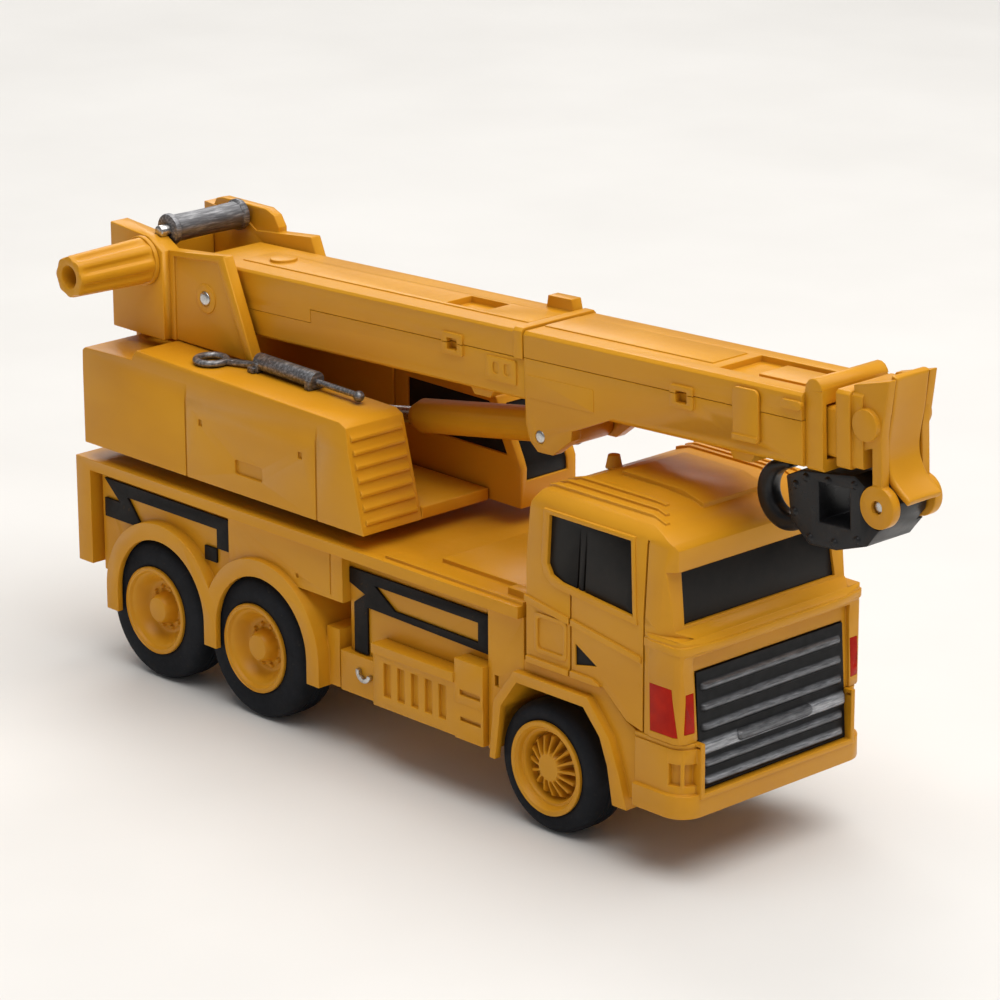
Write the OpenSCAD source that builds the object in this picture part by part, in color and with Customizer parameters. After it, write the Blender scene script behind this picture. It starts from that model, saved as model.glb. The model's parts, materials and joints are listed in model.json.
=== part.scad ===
// Toy crane truck: three rolling axles, a slewing upper works, a luffing boom with its lift
// cylinder, a telescoping boom head and a folding hook block.
// +X is forward, +Y is the truck's left, +Z is up. The origin is on the ground, on the centreline.

/* [Chassis] */
// Length of the truck body, rear posts to bumper
body_len = 139; // [132:1:168]
// Overhang of the body ahead of the front axle
front_overhang = 29.5; // [28:0.5:31]
// Width of the truck body
body_w = 39; // [37:1:47]
// Height of the deck's top above the ground
deck_z = 34.6; // [34:0.2:42]
// Height of the sill's lower edge above the ground
sill_z = 10.4; // [9.6:0.2:11.4]
// Wall of the moulded shells
wall = 1.6; // [1.4:0.1:2]

/* [Wheels] */
// Front axle position along the truck
front_axle_x = 40; // [39:0.5:42]
// Middle axle position along the truck
middle_axle_x = -26.4; // [-27.4:0.2:-25.4]
// Rear axle position along the truck
rear_axle_x = -51.4; // [-52.4:0.2:-50.4]
// Radius of the front tyres
front_tyre_r = 10.3; // [8.6:0.1:11.2]
// Radius of the middle and rear tyres
rear_tyre_r = 11.8; // [9.8:0.1:12]
// Width of a tyre
tyre_w = 7.2; // [6:0.2:8.6]
// Radius of the wheel rims' outer lip
rim_r = 7.3; // [6.2:0.1:7.8]
// Diameter of the axle pins
axle_d = 2; // [1.6:0.1:2.6]
// Radial running clearance of every pin in its bore
pin_gap = 0.06; // [0.03:0.01:0.1]

/* [Cab] */
// Height of the cab from its floor to its roof
cab_h = 27.6; // [26.4:0.2:29]
// Width of the windscreen
screen_w = 31.6; // [26:0.2:34]
// Width of the grille
grille_w = 30.8; // [26:0.2:33]

/* [Upper works] */
// Slewing axis position along the truck
slew_x = -30; // [-32:0.5:-28]
// Length of the side housings
house_len = 69; // [64:1:72]
// Height of the side housings
house_h = 17.4; // [15:0.2:19]
// Radius of the slewing spigot
spigot_r = 4; // [3.4:0.1:5]
// Radius of the winch drum
drum_r = 2.6; // [2.2:0.1:3]
// Bore radius of the side boss
boss_bore_r = 1.8; // [1.4:0.1:2.2]
// Length of the side boss
boss_len = 15.4; // [12:0.2:18]

/* [Boom] */
// Length of the outer boom from its pivot to its end flange
boom_len = 130; // [127:1:157]
// Width of the outer boom
boom_w = 14.6; // [12.4:0.2:16]
// Height of the outer boom
boom_h = 10.6; // [9.6:0.2:11.6]
// Rise of the boom above level when it is down, in degrees
boom_rise = 2.4; // [2:0.1:4]
// Radius of the boom's pivot pin
pivot_r = 1.2; // [1:0.1:1.5]
// Radius of the lift cylinder's barrel
barrel_r = 2.7; // [2.4:0.1:3]
// Radius of the lift cylinder's rod
rod_r = 1.3; // [1:0.1:1.6]

/* [Head and hook] */
// Width of the curved guard on the boom head
guard_w = 7; // [6.4:0.2:9.6]
// Width of the hook block
block_w = 9.2; // [8.6:0.2:11]
// Side of the hook block's through socket
socket_w = 5.8; // [5:0.1:6.4]
// Thickness of the hook
hook_t = 3; // [2.4:0.2:4]

/* [Hidden] */
$fn = 48;

// Colours
yellow = [0.86, 0.56, 0.12];
black = [0.07, 0.07, 0.07];
dark = [0.20, 0.20, 0.22];
steel = [0.72, 0.73, 0.75];
red = [0.66, 0.07, 0.04];
tyre_black = [0.06, 0.07, 0.09];

// Main planes
half_w = body_w / 2;
front_x = front_axle_x + front_overhang;
rear_x = front_x - body_len;
eps = 0.01;
seat_gap = 0.02;
free_gap = 0.3;

// Wheels
rim_face_y = half_w - 0.9;
tyre_face_y = rim_face_y - 0.7;
tyre_in_y = tyre_face_y - tyre_w;
seat_r = rim_r - 0.9;
axle_r = axle_d / 2;
well_y = tyre_in_y - 0.6;
front_axle_z = front_tyre_r;
rear_axle_z = rear_tyre_r;
arch_ahead = 2.8;
arch_z = rear_axle_z + 1.7;
arch_in_r = rear_tyre_r - 0.8;
arch_out_r = arch_in_r + 2.9;
arch_xs = [middle_axle_x + arch_ahead, rear_axle_x + arch_ahead];
mid_arch_end = arch_xs[0] + arch_out_r;
rear_well_r = rear_tyre_r + 0.9;
fender_top_z = front_axle_z + front_tyre_r + 3.9;
front_well_r = front_tyre_r + 0.9;
front_lip_y = half_w - 1.05;

// Deck and sides
lip_t = 1.9;
deck_under_z = deck_z - lip_t;
panel_y = half_w - 1.1;
rear_panel_y = half_w - 1.9;
deep_panel_y = half_w - 2.9;
core_y = well_y;
post_t = 3.6;
base_t = 2;
base_top_z = sill_z + 0.6;
base_y = core_y - 0.3;
base_front_x = front_axle_x + 17.5;
inner_core_y = core_y - wall;
floor_z = deck_z - 8;
panel_front_x = -5;
panel_low_z = deck_z - 9.8;
wall_end_x = front_axle_x - 12.3;
sill_box_end_x = 2.9;
tank_x = sill_box_end_x + 0.05;
locker_x = 21.4;
locker_end_x = wall_end_x - 0.05;
rib_pitch = 3.1;
rib_slot = 1.6;
print_t = 0.4;
print_front_x = 26.6;
rear_print_x = -32.6;

// Cab
cab_rear_x = front_axle_x - 4.2;
cab_y = half_w - 0.5;
cab_floor_z = floor_z;
cab_top_z = floor_z + cab_h;
screen_low_z = cab_top_z - 16;
screen_high_z = cab_top_z - 7.8;
visor_x = front_x - 3.5;
screen_x = front_x - 3.7;
chin_z = floor_z - 4.7;
grille_high_z = cab_top_z - 22.2;
grille_low_z = sill_z + 3.8;
face_top_x = front_x - 1.4;
face_low_x = front_x - 0.3;
ledge_x = front_x - 0.6;

// Upper works
ring_top_z = deck_z + 2.3;
upper_z = ring_top_z + free_gap;
house_y = half_w - 0.3;
trench_y = 7;
house_rear_x = slew_x - 38;
house_front_x = house_rear_x + house_len;
house_top_z = upper_z + house_h;
upper_floor_t = 2;
pivot_x = slew_x - 16.7;
pivot_z = upper_z + 26.4;
plate_in_y = boom_w / 2 + 0.8;
plate_t = 2.1;
plate_out_y = plate_in_y + plate_t;
block_out_y = plate_out_y + 1.4;
tower_top_z = pivot_z + 7.6;
tower_rear_x = house_rear_x - 0.5;
drum_x = pivot_x - 12;
drum_z = pivot_z + 8.7;
boss_x = tower_rear_x + 8.6;
boss_z = pivot_z + 4.2;

// Boom, in its own frame: u along the boom from the pivot, w square to it
boom_y = boom_w / 2;
boom_top_w = boom_h * 0.51;
boom_low_w = boom_top_w - boom_h;
boom_rear_u = -6;
split_u = 71;
step_u = 22.5;
rear_seam_w = -0.9;
mid_seam_w = 1.2;
front_seam_w = 1.5;
boom_wall = 1.4;
flange_t = 3.2;
flange_u = boom_len - flange_t;
flange_y = boom_y - 0.4;
proud = 0.3;
cavity_u = 40;
cavity_y = boom_y - boom_wall;
cavity_top_w = boom_top_w - boom_wall;
cavity_low_w = boom_low_w + boom_wall;
lug_u = 74;
lug_w = -10.2;
ear_t = 2;
ear_in_y = boom_y + proud - ear_t;
lift_pin_r = 1;

// Lift cylinder: its foot lies in the saddle of the upper base
lift_rise = 9.4;
lift_len = 60;
barrel_len = 36;
rod_in = 30;
lug_x = pivot_x + lug_u * cos(boom_rise) - lug_w * sin(boom_rise);
lug_z = pivot_z + lug_u * sin(boom_rise) + lug_w * cos(boom_rise);
foot_x = lug_x - lift_len * cos(lift_rise);
foot_z = lug_z - lift_len * sin(lift_rise);
foot_r = 1.5;
foot_half = 4;
saddle_rear = 2.9;
saddle_front = 3.7;

// Telescoping section and head, in the boom's frame
inner_y = cavity_y - free_gap;
inner_top_w = cavity_top_w - free_gap;
inner_low_w = cavity_low_w + free_gap;
inner_rear_u = boom_len - 68;
head_gap = 1.6;
head_u = boom_len + head_gap;
head_y = boom_y - 1.3;
cheek_in_y = guard_w / 2;
cheek_out_y = cheek_in_y + 1.5;
hinge_u = head_u + 6.7;
hinge_w = -9.4;
eye_r = 3.1;
eye_out_y = block_w / 2 + 0.6;
eye_in_y = eye_out_y - 1.6;
knuckle_r = 2.2;
hook_pin_r = 1;
block_y = block_w / 2;
hook_out_r = 5.3;
hook_in_r = 3.1;
hook_y = -1.9;

// ---------------------------------------------------------------- helpers
module side_plate(points, y0, y1)
  translate([0, y1, 0]) rotate([90, 0, 0]) linear_extrude(height = y1 - y0) polygon(points);

module plan_plate(points, z0, z1)
  translate([0, 0, z0]) linear_extrude(height = z1 - z0) polygon(points);

module end_plate(points, x0, x1)
  translate([x0, 0, 0]) rotate([90, 0, 90]) linear_extrude(height = x1 - x0) polygon(points);

module box(x0, x1, y0, y1, z0, z1)
  translate([x0, y0, z0]) cube([x1 - x0, y1 - y0, z1 - z0]);

module cross_pin(x, z, r, y0, y1)
  translate([x, y1, z]) rotate([90, 0, 0]) cylinder(r = r, h = y1 - y0);

module both_sides() {
  children();
  mirror([0, 1, 0]) children();
}

module in_boom()
  translate([pivot_x, 0, pivot_z]) rotate([0, -boom_rise, 0]) children();

function arc(cx, cz, r, a0, a1, n = 8) =
  [for (i = [0:n]) [cx + r * cos(a0 + (a1 - a0) * i / n), cz + r * sin(a0 + (a1 - a0) * i / n)]];

function round_rect(x0, x1, z0, z1, r, n = 4) = concat(
  arc(x1 - r, z0 + r, r, -90, 0, n), arc(x1 - r, z1 - r, r, 0, 90, n),
  arc(x0 + r, z1 - r, r, 90, 180, n), arc(x0 + r, z0 + r, r, 180, 270, n));

// ---------------------------------------------------------------- wheels
hub_h = 0.6;
hub_r = 2.3;
axle_end = 1.3;
module axle(x, z) color(steel)
  cross_pin(x, z, axle_r, -(rim_face_y - axle_end), rim_face_y - axle_end);

// Half section of a rim: r outward, h along the axle with the outer face at 0.
module rim_section(r, dish) {
  s = r - 0.9;
  polygon([
    [0, hub_h], [1.9, hub_h], [hub_r, hub_h + 0.3], [hub_r + 0.2, 1.2 + dish * 0.3], [s - 1.6, dish],
    [r - 0.9, 0.35], [r - 0.75, 0], [r - 0.2, 0], [r, 0.25], [r, 0.7], [s, 0.7], [s, tyre_w + 0.7],
    [s - 1.2, tyre_w + 0.7], [s - 1.2, dish + 1.4], [axle_r, dish + 1.4], [axle_r, axle_end], [0, axle_end]
  ]);
}

module front_rim() {
  rotate_extrude() rim_section(rim_r, 2.6);
  for (i = [0:15]) rotate([0, 0, i * 22.5]) translate([1.9, -0.22, 1.3]) cube([seat_r - 3.3, 0.44, 2.2]);
}

module rear_rim() {
  rotate_extrude() rim_section(rim_r, 3.2);
  for (i = [0:9]) rotate([0, 0, i * 36]) translate([3.5, 0, 2]) cylinder(r = 0.42, h = 1.4, $fn = 24);
}

module tyre(r, s) rotate_extrude()
  polygon(concat(
    [[s, 0.72], [s + 0.92, 0.72], [s + 1.3, 0.45]],
    arc(r - 1.5, 0.45 + 1.5, 1.5, -90, -10, 5),
    [[r, 3.2], [r, tyre_w - 1.6]],
    arc(r - 1.5, tyre_w - 1.2, 1.5, 10, 90, 5),
    [[s + 0.5, tyre_w + 0.45], [s, tyre_w + 0.7]]));

module wheel_pair(x, z) both_sides()
  translate([x, -rim_face_y, z]) rotate([-90, 0, 0]) children();

module front_axle() axle(front_axle_x, front_axle_z);
module middle_axle() axle(middle_axle_x, rear_axle_z);
module rear_axle() axle(rear_axle_x, rear_axle_z);
module front_rims() color(yellow) wheel_pair(front_axle_x, front_axle_z) front_rim();
module middle_rims() color(yellow) wheel_pair(middle_axle_x, rear_axle_z) rear_rim();
module rear_rims() color(yellow) wheel_pair(rear_axle_x, rear_axle_z) rear_rim();
module front_tyres() color(tyre_black) wheel_pair(front_axle_x, front_axle_z) tyre(front_tyre_r, seat_r);
module middle_tyres() color(tyre_black) wheel_pair(middle_axle_x, rear_axle_z) tyre(rear_tyre_r, seat_r);
module rear_tyres() color(tyre_black) wheel_pair(rear_axle_x, rear_axle_z) tyre(rear_tyre_r, seat_r);

// ---------------------------------------------------------------- chassis
screw_places = [[rear_x + 6, 0], [-12, 0], [18, 0], [front_axle_x + 12, 0]];
screw_r = 0.75;
bearing_half = 3.4;

module bearing(x, z) difference() {
  union() {
    box(x - bearing_half, x + bearing_half, -base_y, base_y, z - axle_r - 1.8, base_top_z);
    box(x - bearing_half, x + bearing_half, -inner_core_y + 0.1, inner_core_y - 0.1, base_top_z - eps,
      z + axle_r + 1.8);
  }
  cross_pin(x, z, axle_r + pin_gap, -core_y, core_y);
}

module chassis_base() color(yellow) difference() {
  union() {
    difference() {
      box(rear_x + 3, base_front_x, -base_y, base_y, base_top_z - base_t, base_top_z);
      for (x = [front_axle_x, middle_axle_x, rear_axle_x])
        box(x - bearing_half + 0.1, x + bearing_half - 0.1, -core_y, core_y, 0, base_top_z + 1);
    }
    bearing(front_axle_x, front_axle_z);
    bearing(middle_axle_x, rear_axle_z);
    bearing(rear_axle_x, rear_axle_z);
  }
  for (p = screw_places) translate([p[0], p[1], 0]) {
    cylinder(r = screw_r + 0.05, h = 40);
    translate([0, 0, base_top_z - base_t - 1]) cylinder(r = 1.6, h = 1.8);
  }
}

module base_screws() color(steel) for (p = screw_places) translate([p[0], p[1], 0]) difference() {
  union() {
    translate([0, 0, base_top_z - base_t]) cylinder(r = 1.5, h = 0.8);
    translate([0, 0, base_top_z - base_t]) cylinder(r = screw_r, h = 7);
  }
  translate([-1.1, -0.2, 0]) cube([2.2, 0.4, base_top_z - base_t + 0.4]);
  translate([-0.2, -1.1, 0]) cube([0.4, 2.2, base_top_z - base_t + 0.4]);
}

// Outline of the front fender's arch, without and with its raised lip.
fender_in = [
  [front_axle_x - 9.6, 0], [front_axle_x - 9.6, sill_z - 0.8], [front_axle_x - 8.4, fender_top_z - 6.2],
  [front_axle_x - 5, fender_top_z - 1.7], [front_axle_x + 9, fender_top_z - 1.7],
  [front_axle_x + 12.4, fender_top_z - 5.4], [front_axle_x + 14, sill_z + 4.6],
  [front_axle_x + 15.1, sill_z - 1.2], [front_axle_x + 15.1, 0]
];
fender_out = [
  [front_axle_x - 10.9, sill_z - 1], [front_axle_x - 9.9, fender_top_z - 5.6],
  [front_axle_x - 5.6, fender_top_z], [front_axle_x + 9.8, fender_top_z],
  [front_axle_x + 14.4, fender_top_z - 5.2], [front_axle_x + 16.4, sill_z + 4],
  [front_axle_x + 18, sill_z - 1.2]
];

module wheel_cuts(y0) {
  for (x = arch_xs) {
    cross_pin(x, arch_z, arch_in_r, y0, half_w + 1);
    box(x - arch_in_r, x + arch_in_r, y0, half_w + 1, 0, arch_z);
  }
  for (x = [middle_axle_x, rear_axle_x]) {
    cross_pin(x, rear_axle_z, rear_well_r, y0, front_lip_y);
    box(x - rear_well_r, x + rear_well_r, y0, front_lip_y, 0, rear_axle_z);
  }
  side_plate(fender_in, y0, half_w + 1);
  cross_pin(front_axle_x, front_axle_z, front_well_r, y0, front_lip_y);
  box(front_axle_x - front_well_r, front_axle_x + front_well_r, y0, front_lip_y, 0, front_axle_z);
}

module arch_lips(y0, y1) difference() {
  union() for (x = arch_xs) {
    cross_pin(x, arch_z, arch_out_r, y0, y1);
    box(x - arch_out_r, x + arch_out_r, y0, y1, sill_z - 0.6, arch_z);
  }
  wheel_cuts(y0 - 1);
  box(rear_x, front_x, y0 - 1, half_w + 1, sill_z - 20, sill_z - 0.6);
}

// One side wall of the body, on the left; the right one is its mirror image.
module side_wall() {
  // Flush panel over and ahead of the rear arches
  difference() {
    side_plate([[rear_x + post_t + 0.8, deck_under_z], [rear_x + post_t + 0.8, arch_z + 2],
      [arch_xs[0], arch_z + 2], [arch_xs[0] + 7, panel_low_z],
      [panel_front_x, panel_low_z], [panel_front_x, deck_under_z]], core_y, rear_panel_y);
    wheel_cuts(core_y - 1);
  }
  difference() {
    box(rear_print_x + 0.4, panel_front_x, rear_panel_y - eps, panel_y, panel_low_z, deck_under_z);
    wheel_cuts(core_y - 1);
    box(panel_front_x - 2.9, panel_front_x - 2.6, panel_y - 0.2, half_w, panel_low_z + 0.8, deck_under_z + 1);
    cross_pin(panel_front_x - 10.6, panel_low_z + 1.9, 0.4, panel_y - 0.3, half_w);
  }
  arch_lips(core_y, half_w);
  // Mud flap behind the middle wheel
  box(mid_arch_end - 0.6, mid_arch_end + 2.4, core_y, half_w - 2.4, sill_z - 0.4, deck_z - 15);
  // Sunk panel between the wheels
  box(panel_front_x - eps, wall_end_x, core_y, deep_panel_y, sill_z + 6, deck_under_z);
  box(mid_arch_end + 3.4, sill_box_end_x, core_y, half_w - 1.7, sill_z - 0.2, sill_z + 6.4);
  // Wall by the cab's rear edge
  difference() {
    box(wall_end_x, front_axle_x - 4.6, core_y, panel_y, sill_z - 0.2, deck_under_z);
    wheel_cuts(core_y - 1);
    box(front_axle_x - 10.9, front_axle_x - 9.4, panel_y - 1.4, half_w, deck_z - 14.2, deck_z - 12.4);
  }
  // Front fender, its lip and the panel behind the lip
  difference() {
    side_plate([[front_axle_x - 10.2, sill_z + 2], [front_axle_x - 10.2, floor_z - 0.3],
      [front_axle_x + 12, floor_z - 0.3], [front_axle_x + 16.6, chin_z + 0.5],
      [front_axle_x + 18.6, chin_z - 0.3], [front_axle_x + 18.6, sill_z + 0.4]], core_y, half_w - 1.2);
    wheel_cuts(core_y - 1);
  }
  difference() {
    side_plate(fender_out, core_y + 1, half_w + 0.1);
    wheel_cuts(core_y);
  }
}

module chassis_body() color(yellow) difference() {
  union() {
    // Deck with its overhanging lip
    box(rear_x, cab_rear_x - 0.6, -half_w, half_w, deck_under_z, deck_z);
    box(rear_x, cab_rear_x - 0.6, -core_y, core_y, base_top_z + 0.05, deck_under_z + eps);
    side_plate([[cab_rear_x - 0.7, base_top_z + 0.05], [cab_rear_x - 0.7, floor_z - 0.3],
      [front_axle_x + 12, floor_z - 0.3], [front_axle_x + 16.6, chin_z + 0.5],
      [front_axle_x + 18.6, chin_z - 0.3], [front_axle_x + 18.6, base_top_z + 0.05]], -core_y, core_y);
    both_sides() {
      side_wall();
      // Rear post and the raised edge of the deck by the cab
      box(rear_x, rear_x + post_t, half_w - 3, half_w, deck_z - 18, deck_under_z + eps);
      box(5, cab_rear_x - 0.6, half_w - 1.8, half_w - 1.1, deck_z - eps, deck_z + 0.5);
      box(cab_rear_x - 6, cab_rear_x - 0.6, half_w - 5.4, half_w - 3.2, deck_z - eps, deck_z + 1.1);
    }
    box(12.5, cab_rear_x - 0.6, -half_w + 6, half_w - 6, deck_z - eps, deck_z + 0.7);
    // Rear end panel ribs
    for (y = [-10, -5, 0, 5, 10]) box(rear_x - 0.35, rear_x + 1, y - 0.7, y + 0.7, deck_z - 13, deck_z - 4);
  }
  // Hollow inside, open towards the base
  difference() {
    union() {
      box(rear_x + wall, cab_rear_x - 2, -inner_core_y, inner_core_y, 0, deck_under_z - eps);
      box(cab_rear_x - 3, front_axle_x + 10.5, -inner_core_y, inner_core_y, 0, floor_z - 2);
    }
    // Screw posts
    for (p = screw_places) translate([p[0], p[1], base_top_z + 0.05]) cylinder(r = 2.2, h = 40);
  }
  for (p = screw_places) translate([p[0], p[1], 0]) cylinder(r = screw_r + 0.05, h = base_top_z + 6);
  // Slots for the bearing blocks and the axles
  for (a = [[front_axle_x, front_axle_z], [middle_axle_x, rear_axle_z], [rear_axle_x, rear_axle_z]]) {
    box(a[0] - axle_r - 0.4, a[0] + axle_r + 0.4, -half_w, half_w, 0, a[1]);
    cross_pin(a[0], a[1], axle_r + 0.4, -core_y - 1, core_y + 1);
  }
  // Bearing of the slewing spigot
  translate([slew_x, 0, 0]) cylinder(r = spigot_r + pin_gap, h = deck_z + 1);
}

module slew_ring() color(dark) translate([slew_x, 0, deck_z]) difference() {
  cylinder(r = 14, h = ring_top_z - deck_z);
  translate([0, 0, -1]) cylinder(r = spigot_r + 1, h = 5);
}

// Stepped boxes between the wheels: a ribbed tank and a locker.
module side_box() color(yellow) difference() {
  union() {
    box(tank_x, locker_x, deep_panel_y + seat_gap, half_w - 0.1, sill_z + 0.2, sill_z + 9);
    box(tank_x, locker_x, deep_panel_y + seat_gap, half_w + 0.3, sill_z + 8.8, sill_z + 10.4);
    box(locker_x, locker_end_x, deep_panel_y + seat_gap, half_w - 0.1, sill_z, sill_z + 5.9);
    box(locker_x, locker_end_x, deep_panel_y + seat_gap, half_w, sill_z + 5.8, sill_z + 12.8);
  }
  for (i = [0:4]) translate([tank_x + 2.45 + i * rib_pitch, 0, 0])
    box(0, rib_slot, half_w - 0.8, half_w + 0.1, sill_z + 2.2, sill_z + 7.6);
  box(locker_x + 1.2, locker_end_x - 0.65, half_w - 0.5, half_w + 1, sill_z + 7.2, sill_z + 8);
  box(locker_x + 1.2, locker_end_x - 0.65, half_w - 0.6, half_w + 1, sill_z + 3, sill_z + 3.6);
}
module left_side_box() side_box();
module right_side_box() mirror([0, 1, 0]) side_box();

// Raised black outlines on the sunk panels.
module stripe_set() {
  y = deep_panel_y + seat_gap;
  z = deck_z;
  side_plate([[panel_front_x + 0.1, z - 4.1], [print_front_x, z - 4.1], [print_front_x, z - 10.4],
    [-0.8, z - 9.8],
    [-0.8, z - 17.6], [-3.9, z - 17.6], [-3.9, z - 9.6], [-1.4, z - 7.8], [panel_front_x + 0.1, z - 6.6]],
      y, y + print_t);
}
module rear_stripe_set() {
  y = rear_panel_y + seat_gap;
  z = deck_z;
  side_plate([[rear_x + 5.4, z - 3], [rear_print_x, z - 3], [rear_print_x, z - 8.4],
    [rear_print_x - 3, z - 8.4],
    [rear_print_x - 3, z - 5.2], [-58.1, z - 5.2], [-54.3, z - 9.6], [rear_x + 5.4, z - 9.6],
    [rear_x + 5.4, z - 6.4], [-60.2, z - 6.4]], y, y + print_t);
  box(rear_print_x - 6.1, rear_print_x - 3.1, y, y + 0.4, z - 10.9, z - 8.5);
}
module side_stripes() color(black) both_sides() {
  difference() {
    stripe_set();
    side_plate([[1, deck_z - 5.9], [24, deck_z - 5.9], [24, deck_z - 9], [5.4, deck_z - 8.8]], 0, half_w);
  }
  difference() {
    rear_stripe_set();
    for (x = arch_xs) cross_pin(x, arch_z, arch_out_r + 0.1, 0, half_w);
  }
}

module tie_down_hooks() color(steel) both_sides()
  translate([-0.4, half_w - 1.68, sill_z + 4.2]) rotate([-90, 0, 0]) rotate([0, 0, 12]) difference() {
    cylinder(r = 1.7, h = 0.7);
    translate([0, 0, -1]) cylinder(r = 1, h = 3);
    translate([-2, -2, -1]) cube([4, 2, 3]);
  }

// ---------------------------------------------------------------- truck cab
function cab_plan(s) = concat(
  [[cab_rear_x + s, -(cab_y - 0.8 - s)], [cab_rear_x + 0.8 + s, -(cab_y - s)],
   [front_x - 8.6, -(cab_y - s)], [front_x - 5.8, -(cab_y - 0.35 - s)],
   [front_x - 3.4 - s * 0.5, -(cab_y - 1.3 - s)], [front_x - 1.7 - s, -(cab_y - 2.7 - s)],
   [front_x - 0.6 - s, -(cab_y - 4.4 - s)], [front_x - 0.1 - s, -(cab_y - 7 - s)]],
  [[front_x - 0.1 - s, cab_y - 7 - s], [front_x - 0.6 - s, cab_y - 4.4 - s],
   [front_x - 1.7 - s, cab_y - 2.7 - s], [front_x - 3.4 - s * 0.5, cab_y - 1.3 - s],
   [front_x - 5.8, cab_y - 0.35 - s], [front_x - 8.6, cab_y - s],
   [cab_rear_x + 0.8 + s, cab_y - s], [cab_rear_x + s, cab_y - 0.8 - s]]);

// The nose below the windscreen is squarer than the cab above it.
nose_top_z = screen_low_z - 0.8;
function nose_half(s, m) = [for (p = [
  [front_x - 8, cab_y], [front_x - 7.2, cab_y + 0.3], [front_x - 2.6, cab_y + 0.3],
    [front_x - 1.6, cab_y - 0.1],
  [front_x - 1.1, cab_y - 0.9], [front_x - 0.6, cab_y - 4.4], [front_x - 0.1, cab_y - 8]])
  [p[0] - s, m * (p[1] - s)]];
function nose_plan(s) = concat(
  [[cab_rear_x + s, -(cab_y - 0.8 - s)], [cab_rear_x + 0.8 + s, -(cab_y - s)]], nose_half(s, -1),
  [for (i = [6:-1:0]) nose_half(s, 1)[i]],
  [[cab_rear_x + 0.8 + s, cab_y - s], [cab_rear_x + s, cab_y - 0.8 - s]]);

function cab_end(s) = [for (p = [
  [cab_y + 0.3, sill_z], [cab_y + 0.3, nose_top_z - 0.5], [cab_y, nose_top_z - 0.1], [cab_y, deck_z + 5],
    [cab_y - 0.7, cab_top_z - 3.9], [cab_y - 1.1, cab_top_z - 2.6],
  [cab_y - 2.1, cab_top_z - 1.5], [cab_y - 4.2, cab_top_z - 0.8], [cab_y - 9, cab_top_z - 0.25],
  [0, cab_top_z + 0.1], [-cab_y + 9, cab_top_z - 0.25], [-cab_y + 4.2, cab_top_z - 0.8],
  [-cab_y + 2.1, cab_top_z - 1.5], [-cab_y + 1.1, cab_top_z - 2.6], [-cab_y + 0.7, cab_top_z - 3.9],
  [-cab_y, deck_z + 5], [-cab_y, nose_top_z - 0.1], [-cab_y - 0.3, nose_top_z - 0.5],
    [-cab_y - 0.3, sill_z]]) [p[0] - sign(p[0]) * s, p[1] - s]];

function face_x(z) = face_top_x + (face_low_x - face_top_x) * (grille_high_z + 1 - z)
  / (grille_high_z + 1 - grille_low_z);

function cab_profile(s) = [
  [cab_rear_x + s, cab_floor_z], [cab_rear_x + 0.9 + s, cab_top_z - 3.2],
  [cab_rear_x + 1.9 + s, cab_top_z - 1.3 - s], [cab_rear_x + 5, cab_top_z - 0.3 - s],
  [cab_rear_x + 14, cab_top_z + 0.1 - s], [visor_x - 8, cab_top_z - 0.6 - s],
  [visor_x - 2.8, cab_top_z - 2.2 - s], [visor_x - 0.4 - s, cab_top_z - 3.2 - s],
  [visor_x + 0.2 - s, cab_top_z - 3.9 - s * 0.4], [visor_x + 0.2 - s, cab_top_z - 7],
    [visor_x - 1.6, cab_top_z - 7.3],
  [screen_x - 1.2 - s, screen_high_z], [screen_x - s, screen_low_z],
  [face_top_x + 0.1 - s, nose_top_z - 0.1], [ledge_x - s, nose_top_z - 0.8],
  [ledge_x - s, nose_top_z - 2], [face_top_x + 0.1 - s, nose_top_z - 2.5],
  [face_x(grille_high_z + 1) - s, grille_high_z + 1],
  [face_x(chin_z) - s, chin_z], [front_axle_x + 21, chin_z], [front_axle_x + 17.3, chin_z + 0.9],
  [front_axle_x + 12.6, cab_floor_z]
];

module cab_solid(s) intersection() {
  side_plate(cab_profile(s), -half_w, half_w);
  union() {
    plan_plate(nose_plan(s), sill_z, nose_top_z - s);
    plan_plate(cab_plan(s), nose_top_z - s - 1, cab_top_z + 1);
  }
  end_plate(cab_end(s), cab_rear_x - 1, front_x + 1);
}

// Window outline on the cab's side, without and with its raised frame.
win_z = cab_top_z - 4.1;
window_out = [
  [cab_rear_x + 5.2, win_z], [front_x - 11.9, win_z], [front_x - 10.8, win_z - 11],
  [cab_rear_x + 11.4, win_z - 9.9], [cab_rear_x + 8.2, win_z - 9.6], [cab_rear_x + 6.2, win_z - 8.9],
  [cab_rear_x + 5.2, win_z - 7.4]
];
frame_out = [
  [cab_rear_x + 3.9, win_z + 0.7], [front_x - 11.2, win_z + 0.7], [front_x - 9.9, win_z - 12.1],
  [cab_rear_x + 10, win_z - 10.9], [cab_rear_x + 6.4, win_z - 10.3], [cab_rear_x + 4.7, win_z - 9.2],
  [cab_rear_x + 3.9, win_z - 7.2]
];
screen_in_y = screen_w / 2;
screen_out = [
  [-screen_in_y, screen_low_z + 0.5], [screen_in_y, screen_low_z + 0.5],
  [screen_in_y - 0.4, screen_high_z - 0.1], [-screen_in_y + 0.4, screen_high_z - 0.1]
];
seam = 0.35;

module door_lines() both_sides() {
  // Shut lines
  box(cab_rear_x + 9.9, cab_rear_x + 9.9 + seam, cab_y - 0.35, cab_y + 1, cab_floor_z - 1, win_z - 10.8);
  box(front_x - 8.9, front_x - 8.9 + seam, cab_y - 1.2, cab_y + 1, sill_z, win_z + 0.7);
}

module handle_outline() polygon([
  [cab_rear_x + 11, deck_z - 2.7], [cab_rear_x + 15.4, deck_z - 5.1], [cab_rear_x + 11.1, deck_z - 6]]);

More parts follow.
